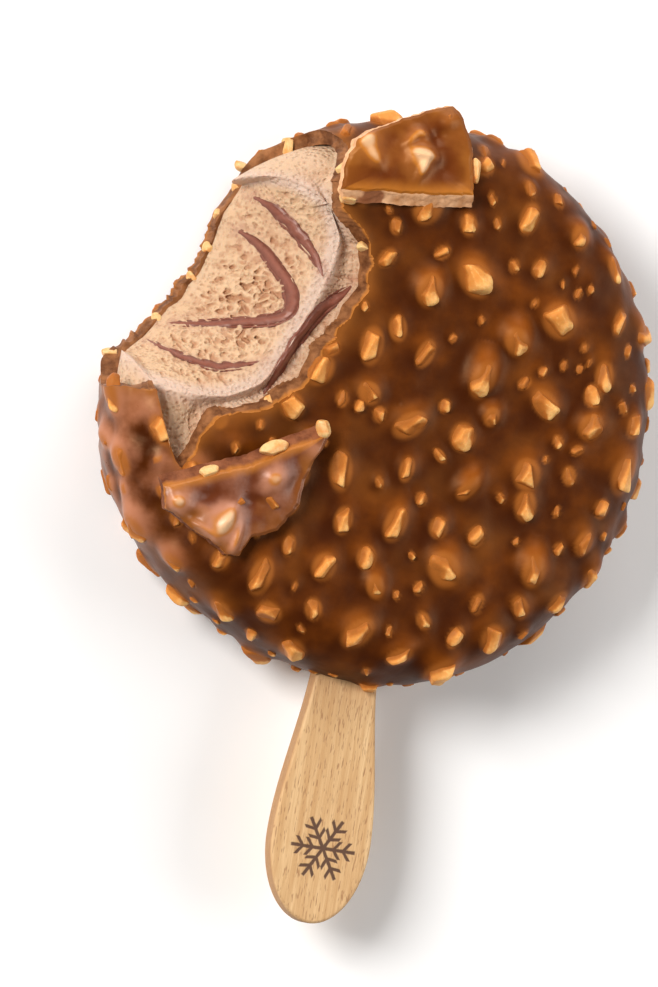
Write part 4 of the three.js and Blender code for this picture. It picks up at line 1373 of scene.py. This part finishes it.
class ICEBAR_OT_ice_cream(bpy.types.Operator):
    """Makes the ice cream with its bitten, porous floor and its smooth lip"""

    bl_idname = "icebar.ice_cream"
    bl_label = "Ice cream"

    def execute(self, context):
        material = ice_cream_finish(context.scene.icebar_filling)
        station, angle = bar_grid(*CREAM_GRID)
        rings = bar_point(angle, station, FILL_INSET)
        rings = rings + 0.03 * noise(rings, 1.2, 41)[..., None] * bar_normal(angle, station)
        cream = make_object("ice_cream_bitten", *bar_body(rings, FILL_INSET), [material])

        angles, seen = bite_angles(430)
        front, lip, foot = floor_edges(seen)
        rows = [(front, CUT_TOP), (front, FRONT_Z)]
        inner = front - BREAK_LEAN
        in_band, on_floor = np.linspace(0, 1, 42)[:, None], np.linspace(0, 1, 130)[1:, None]
        for distance in np.concatenate([mix(inner, lip, in_band), mix(lip, foot, on_floor)]):
            x, y = from_bite(angles, distance)
            rows.append((distance, floor_height(seen, distance) + floor_grain(x, y)))
        rows.append((foot - BACK_BREAK_LEAN, BACK_Z))
        rows.append((foot / 2, CUT_BELOW))
        cut_away(cream, bite_cutter(rows, angles, material))

        x, y = mesh_points(cream)[:, :2].T
        angle, distance = to_bite(x, y)
        _, lip, foot = floor_edges(angle)
        rounded = np.exp(-(((distance - lip) / 1.5) ** 2))
        near_foot = np.exp(-(((distance - foot) / 1.2) ** 2))
        band = smooth(0.5, 2.0, distance - lip) * 0.3
        away = [line_distance(x, y, line) / (0.75 * width) for _, width, line in RIPPLES]
        finish_piece(
            cream, "ice_cream", 60, "ice_cream",
            # A painted highlight along the rounded lip, paler also near the foot and in the band by the shell,
            # and painted shade in the low places of the grain.
            pale=np.clip(rounded + 0.25 * near_foot + band, 0, 1),
            deep=np.clip(-floor_grain(x, y) * 1.7 - 0.1, 0, 0.75),
            stain=np.clip(np.exp(-np.square(away)).sum(axis=0), 0, 1),
        )
        return {"FINISHED"}


def strand(line, width, offset, seed):
    """A strand of sauce carried along its line: a crowned ribbon that follows the ice cream's floor, pointed
    at both ends, with a keel under it. Returns its points, faces and how high each point is on its crown."""
    count, across_count = 130, 13
    path = curve_through(line, count)
    side = side_of_path(path)
    share = np.linspace(0, 1, count)
    wander = flat(share * 9, 0 * share)
    taper = np.sqrt(np.sin(math.pi * mix(0.012, 0.988, share)))
    half = width / 2 * taper * (1 + 0.22 * noise(wander, 1, seed))
    path = path + side * (offset * taper + 0.18 * noise(wander, 0.8, seed + 1))[:, None]
    across = np.linspace(-1, 1, across_count)
    x = path[:, 0, None] + side[:, 0, None] * half[:, None] * across
    y = path[:, 1, None] + side[:, 1, None] * half[:, None] * across
    angle, distance = to_bite(x, y)
    crown = (1 - across**2) * np.minimum(0.32, half * 0.5)[:, None]
    ridges = 0.05 * np.cos(5 * math.pi * across + 3 * noise(wander, 0.7, seed + 2)[:, None]) * taper[:, None]
    top = floor_height(angle, distance) + 0.35 * floor_grain(x, y) - 0.1 + crown + ridges
    lower = across[::-1][1:-1:3] * 0.7
    under_x = path[:, 0, None] + side[:, 0, None] * half[:, None] * lower
    under_y = path[:, 1, None] + side[:, 1, None] * half[:, None] * lower
    under = np.broadcast_to(top.min(axis=1, keepdims=True) - 1.2, under_x.shape)
    rings = np.stack([
        np.concatenate([x, under_x], axis=1), np.concatenate([y, under_y], axis=1),
        np.concatenate([top, under], axis=1),
    ], axis=-1)
    points, faces = ringed(rings[0].mean(axis=0), rings, rings[-1].mean(axis=0))
    height = np.concatenate([np.broadcast_to((1 - np.abs(across)) ** 0.7, x.shape), 0 * under], axis=1)
    return points, faces, np.concatenate([[0], height.ravel(), [0]])


class ICEBAR_OT_ripples(bpy.types.Operator):
    """Makes the four ripples of cocoa sauce, each of a broad strand and thin ones beside it"""

    bl_idname = "icebar.ripples"
    bl_label = "Cocoa ripples"

    def execute(self, context):
        material = sauce_finish(context.scene.icebar_filling)
        for index, (node, width, line) in enumerate(RIPPLES):
            strands = [(width, 0.0), (width * 0.4, width * 0.42), (width * 0.32, -width * 0.46)]
            all_points, all_faces, all_heights, start = [], [], [], 0
            for rank, (wide, offset) in enumerate(strands):
                points, faces, heights = strand(line, wide, offset, 50 + 10 * index + 3 * rank)
                all_points.append(points)
                all_faces += [group + start for group in faces]
                all_heights.append(heights)
                start += len(points)
            piece = make_object(f"{node}_sauce", np.vstack(all_points), all_faces, [material])
            finish_piece(piece, "cocoa_ripple", 70, node, strand=np.concatenate(all_heights))
        return {"FINISHED"}


def shard_outline(shard):
    """The shard's jagged outline as its solid has it, with finer steps between its points."""
    corners = shard["corners"]
    draw = random_draws(len(corners))
    coarse = []
    for (x, y), (next_x, next_y) in zip(corners, np.roll(corners, -1, axis=0)):
        pieces = max(1, int(math.hypot(next_x - x, next_y - y) / SHARD_STEP + 0.5))
        for step in range(pieces):
            jag_x, jag_y = SHARD_JAG * (draw() - 0.5), SHARD_JAG * (draw() - 0.5)
            coarse.append((mix(x, next_x, step / pieces) + jag_x, mix(y, next_y, step / pieces) + jag_y))
    coarse = np.array(coarse)
    closed = np.vstack([coarse, coarse[:1]])
    place = np.concatenate([[0], np.cumsum(np.linalg.norm(np.diff(closed, axis=0), axis=1))])
    fine = np.linspace(0, place[-1], 420, endpoint=False)
    outline = np.stack([np.interp(fine, place, closed[:, axis]) for axis in (0, 1)], axis=1)
    rough = flat(*outline.T)
    middle = np.array(shard["middle"])
    away = outline - middle
    reach = 1 + (0.16 * noise(rough, 1.1, 61) + 0.1 * noise(rough, 0.5, 62)) / np.linalg.norm(away, axis=1)
    return middle + away * reach[:, None]


def shard_top(shard, x, y):
    """The outer face: the underside, the thickness, a bell for each hump and a long bell for each fold."""
    relief = 0
    for hump_x, hump_y, high, wide in shard["humps"]:
        relief = relief + high * np.exp(-(((x - hump_x) ** 2 + (y - hump_y) ** 2) / wide**2))
    for fold_x, fold_y, high, long, wide, turn in shard["folds"]:
        cos, sin = math.cos(math.radians(turn)), math.sin(math.radians(turn))
        along = (x - fold_x) * cos + (y - fold_y) * sin
        across = (y - fold_y) * cos - (x - fold_x) * sin
        relief = relief + high * np.exp(-((along / long) ** 2) - (across / wide) ** 2)
    return shard_underside(shard, x, y) + SHARD_THICKNESS + relief


class ICEBAR_OT_shards(bpy.types.Operator):
    """Makes the two broken pieces of coating that lie on the front"""

    bl_idname = "icebar.shards"
    bl_label = "Coating shards"

    def execute(self, context):
        settings = context.scene.icebar_coating
        pale = broken_finish(settings, "broken_coating_pale", "tan_deep", "broken_pale", "broken_pale")
        red = broken_finish(settings, "broken_coating_red", "red_deep", "red_brown", "amber_edge")
        # The shards' outsides: painted light on the upper one's rises, a painted mauve sheen on the lower
        # one's.
        warm = shard_finish(settings, "shard_chocolate_warm", settings.milk_shard, TOP_SHARD_SHEEN)
        rosy = shard_finish(settings, "shard_chocolate_rosy", settings.mauve, LOW_SHARD_SHEEN)
        for shard, outside, broken in zip(SHARDS, (warm, rosy), (pale, red)):
            self.shard(shard, outside, broken)
        self.shard_nuts()
        return {"FINISHED"}

    def shard(self, shard, outside, broken):
        """One shard: rings of the outline from the middle of the outer face, over a rounded edge, down the
        leaning broken face and back under it."""
        outline = shard_outline(shard)
        middle = np.array(shard["middle"])
        away = outline - middle
        towards = np.array(shard["towards"])
        outward = right_of_outline(outline, 6)
        facing = smooth(0.15, 0.85, outward @ towards)
        rings = []
        face_steps, side_steps, under_steps = 54, 14, 12
        for share in np.linspace(0, 1, face_steps + 1)[1:]:
            place = middle + away * share
            x, y = place.T
            spot = flat(x, y)
            edge = 0.28 * smooth(0.93, 1.0, np.full_like(x, share))
            film = 0.22 * noise(spot, 3.2, 71) + 0.1 * noise(spot, 1.4, 72)
            rings.append(np.stack([x, y, shard_top(shard, x, y) + film - edge], axis=-1))
        upper = rings[-1].copy()
        for share in np.linspace(0, 1, side_steps + 1)[1:]:
            lean = share * SHARD_BEVEL * facing
            place = outline + towards * lean[:, None]
            x, y = place.T
            under = shard_underside(shard, x, y)
            z = mix(upper[:, 2], under, share)
            spot = np.stack([x, y, z], axis=-1)
            rough = 0.2 * noise(spot, 1.1, 73) + 0.12 * noise(spot, 0.5, 74)
            rough = rough * math.sin(math.pi * share) ** 0.5
            rings.append(np.stack([x + outward[:, 0] * rough, y + outward[:, 1] * rough, z], axis=-1))
        for share in np.linspace(1, 0, under_steps + 1)[1:-1]:
            place = middle + away * share + towards * (share * SHARD_BEVEL * facing)[:, None]
            x, y = place.T
            spot = flat(x, y)
            rings.append(np.stack([x, y, shard_underside(shard, x, y) + 0.08 * noise(spot, 2, 75)], axis=-1))
        x, y = middle
        first = (x, y, shard_top(shard, x, y))
        last = (x, y, shard_underside(shard, x, y))
        points, faces = ringed(first, np.array(rings), last)
        piece = make_object(f"{shard['node']}_broken", points, faces, [outside, broken])
        around = len(outline)
        is_broken = np.arange(len(piece.data.polygons)) >= face_steps * around
        piece.data.polygons.foreach_set("material_index", is_broken.astype(np.int32))
        x, y, z = points.T
        rise = (z - shard_underside(shard, x, y) - SHARD_THICKNESS) / 1.3
        shares = np.concatenate([[0], np.repeat(np.linspace(0, 1, face_steps + 1)[1:], around)])
        near_edge = np.ones(len(points))
        near_edge[:len(shares)] = smooth(0.55, 1.0, shares)
        towards_edge = np.concatenate([[0], np.tile(0.3 + 0.7 * facing, len(rings)), [0]])
        cocoa_x, cocoa_y, cocoa_size = shard["cocoa"]
        near_cocoa = np.hypot(x - cocoa_x, y - cocoa_y) / cocoa_size + 0.25 * noise(points, 0.8, 76)
        finish_piece(
            piece, "chocolate_coating", 50, shard["node"],
            # Painted light on the rises, a painted highlight on the highest humps and a painted amber glow at
            # the edge facing the lean.
            rise=np.clip(rise * 0.8 + 0.15, 0, 1), thin=smooth(0.4, 1.3, rise), glow=near_edge * towards_edge,
            rim=smooth(0.6, 0.0, shard_top(shard, x, y) - 0.3 - z) * 0.7,
            cocoa=smooth(1.2, 0.9, near_cocoa),
        )

    def shard_nuts(self):
        """The nuts in the shards: cut ones in the broken face and filmed ones on the outer face."""
        for name, rows, material in (
            ("shard_nuts_cut", SHARD_CUT_NUTS, bpy.data.materials["cut_nut"]),
            ("shard_nuts_filmed", SHARD_FILMED_NUTS, bpy.data.materials["chopped_nut"]),
        ):
            nuts = listed_nuts(rows, SHARD_NUT_RANK)
            corners, faces = ball(4)
            points, ridge = nut_points(nuts, corners)
            above = points[..., 2] - nuts["centre"][:, None, 2]
            nut_piece(
                name, material, points, faces, bare=np.clip(above / 0.9 - 0.1, 0, 1), ridge=ridge,
                flank=nut_flank(points, nuts), tone=0.4,
            )


def stick_half_width(y):
    """Half the stick's width: even at the neck, a smooth swelling to the widest, then half an ellipse."""
    swell = smooth(0, 1, (STICK_NECK_END - y) / (STICK_NECK_END - STICK_WIDEST_AT))
    in_cap = np.clip((STICK_WIDEST_AT - y) / (STICK_WIDEST_AT - STICK_END), 0, 1)
    return mix(STICK_NECK, STICK_WIDEST, swell) / 2 * np.sqrt(1 - in_cap**2)


class ICEBAR_OT_stick(bpy.types.Operator):
    """Makes the wooden stick with its rounded edges, grain and burnt mark"""

    bl_idname = "icebar.stick"
    bl_label = "Wooden stick"

    def execute(self, context):
        settings = context.scene.icebar_stick
        radius = settings.edge / MM
        lean = np.linspace(0, math.pi / 2, 60)
        cap_y = mix(STICK_WIDEST_AT, STICK_END, np.sin(lean))
        side_y = np.linspace(STICK_TOP - STICK_NECK / 2, STICK_WIDEST_AT, 150)[:-1]
        y = np.concatenate([side_y, cap_y])
        right = np.stack([stick_half_width(y), y], axis=1)
        left = right[::-1][1:] * (-1, 1)
        turn = np.linspace(math.pi, 0, 40)[1:-1]
        half = STICK_NECK / 2
        head = np.stack([half * np.cos(turn), STICK_TOP - half + half * np.sin(turn)], axis=1)
        outline = np.vstack([right, left, head])
        inward = right_of_outline(outline, 1)
        spine = np.stack([0 * outline[:, 0], np.clip(outline[:, 1], STICK_END + 7, STICK_TOP - 5)], axis=1)
        if np.sum((spine - outline) * inward) < 0:
            inward = -inward
        rounding = np.linspace(0, math.pi / 2, 7)
        rows = []
        for share in (0.35, 0.7, 0.9):
            rows.append((mix(spine, outline + inward * radius, share), STICK_THICKNESS / 2))
        for angle in rounding[::-1]:
            rows.append((
                outline + inward * radius * (1 - math.cos(angle)),
                STICK_THICKNESS / 2 - radius * (1 - math.sin(angle)),
            ))
        rows += [(place, -height) for place, height in rows[::-1]]
        rings = np.array([np.column_stack([place, np.full(len(place), height)]) for place, height in rows])
        centre = np.column_stack([spine, np.full(len(spine), STICK_THICKNESS / 2)])
        around = len(outline)
        points = np.vstack([centre, rings.reshape(-1, 3), centre * (1, 1, -1)])
        column = np.arange(around)
        beside = (column + 1) % around
        start = (np.arange(len(rows) + 1) * around)[:, None]
        below = start + around
        faces = np.stack([start + column, below + column, below + beside, start + beside], axis=-1)
        points[:, 0] += STICK_SHIFT
        points[:, 2] += MIDDLE_Z
        material = wood_finish(settings)
        piece = make_object("stick_wood", points, [faces.reshape(-1, 4)], [material])
        clean = bmesh.new()
        clean.from_mesh(piece.data)
        bmesh.ops.remove_doubles(clean, verts=clean.verts, dist=1e-6)
        bmesh.ops.recalc_face_normals(clean, faces=clean.faces)
        clean.to_mesh(piece.data)
        clean.free()
        z = mesh_points(piece)[:, 2] - MIDDLE_Z
        half = STICK_THICKNESS / 2
        side = 1 - smooth(half - 0.5, half - 0.1, np.abs(z))
        finish_piece(piece, "beech", 60, "stick", side=side, front=z > half - 0.3)
        return {"FINISHED"}


def soft_light(name, spot, size, power, colour):
    """A square soft light at a spot, turned to the bar."""
    light = bpy.data.lights.new(name, "AREA")
    light.size = size
    light.energy = power
    light.color = colour
    lamp = bpy.data.objects.new(name, light)
    bpy.context.scene.collection.objects.link(lamp)
    lamp.location = spot
    lamp.rotation_euler = (Vector(LIGHT_AIM) - Vector(spot)).to_track_quat("-Z", "Y").to_euler()


class ICEBAR_OT_stage(bpy.types.Operator):
    """Makes the pale floor, the soft light and the camera"""

    bl_idname = "icebar.stage"
    bl_label = "Stage"

    def execute(self, context):
        settings = context.scene.icebar_stage
        make = Finish("pale_floor")
        floor_material = make.surface(Base_Color=(*settings.floor, 1), Roughness=0.85)
        corners = FLOOR_REACH * np.array([[-1, -1, 0], [1, -1, 0], [1, 1, 0], [-1, 1, 0]])
        floor = make_object("floor", corners, [np.array([[0, 1, 2, 3]])], [floor_material])

        world = bpy.data.worlds.new("studio")
        world.use_nodes = True
        background = world.node_tree.nodes["Background"]
        background.inputs["Color"].default_value = (1, 0.985, 0.97, 1)
        background.inputs["Strength"].default_value = settings.sky
        context.scene.world = world
        soft_light("key", (-0.55, 0.12, 0.5), 0.32, settings.key_power, (1, 0.985, 0.97))
        soft_light("fill", (0.6, 0.05, 0.42), 0.5, settings.fill_power, (1, 0.98, 0.96))
        soft_light("rear", (0.1, 0.72, 0.3), 0.5, settings.rear_power, (1, 0.96, 0.95))

        roll_x, roll_y = math.cos(CAMERA_ROLL), math.sin(CAMERA_ROLL)
        tilt_x, tilt_z = math.cos(CAMERA_TILT), math.sin(CAMERA_TILT)
        right = Vector((tilt_x * roll_x, tilt_x * roll_y, tilt_z))
        up = Vector((-roll_y, roll_x, 0))
        back = Vector((-tilt_z * roll_x, -tilt_z * roll_y, tilt_x))
        aim = Vector((0, 0, CAMERA_AIM_Z)) + CAMERA_AIM[0] * right + CAMERA_AIM[1] * up
        lens = bpy.data.cameras.new("camera")
        lens.sensor_fit = "VERTICAL"
        lens.sensor_height = SENSOR
        lens.lens = SENSOR * CAMERA_DISTANCE / (IMAGE_HEIGHT / PIXELS_PER_MM * MM)
        lens.clip_end = CAMERA_REACH
        camera = bpy.data.objects.new("camera", lens)
        context.scene.collection.objects.link(camera)
        turned = Matrix((right, up, back)).transposed().to_4x4()
        camera.matrix_world = Matrix.Translation(aim * MM + back * CAMERA_DISTANCE) @ turned
        context.scene.camera = camera
        context.scene.view_settings.view_transform = "Standard"
        return {"FINISHED"}


class ICEBAR_PT_panel(bpy.types.Panel):
    """Lists the pieces of the ice cream bar"""

    bl_idname = "ICEBAR_PT_panel"
    bl_label = "Ice cream bar"
    bl_space_type = "VIEW_3D"
    bl_region_type = "UI"
    bl_category = "Ice cream bar"

    def draw(self, context):
        for operator in OPERATORS:
            self.layout.operator(operator.bl_idname)
        for name, group in SETTINGS.items():
            box = self.layout.box()
            for prop in group.__annotations__:
                box.prop(getattr(context.scene, name), prop)


SETTINGS = {
    "icebar_coating": ICEBAR_PG_coating,
    "icebar_filling": ICEBAR_PG_filling,
    "icebar_stick": ICEBAR_PG_stick,
    "icebar_stage": ICEBAR_PG_stage,
}
OPERATORS = (
    ICEBAR_OT_stage, ICEBAR_OT_coating, ICEBAR_OT_nuts, ICEBAR_OT_ice_cream, ICEBAR_OT_ripples,
    ICEBAR_OT_shards, ICEBAR_OT_stick,
)


def register():
    for group in (*SETTINGS.values(), *OPERATORS, ICEBAR_PT_panel):
        bpy.utils.register_class(group)
    for name, group in SETTINGS.items():
        setattr(bpy.types.Scene, name, bpy.props.PointerProperty(type=group))


def unregister():
    for name in SETTINGS:
        delattr(bpy.types.Scene, name)
    for group in (ICEBAR_PT_panel, *reversed(OPERATORS), *reversed(SETTINGS.values())):
        bpy.utils.unregister_class(group)


def main():
    """Registers the add-on and makes every piece."""
    register()
    for operator in OPERATORS:
        group, name = operator.bl_idname.split(".")
        getattr(getattr(bpy.ops, group), name)()


if __name__ == "__main__":
    main()
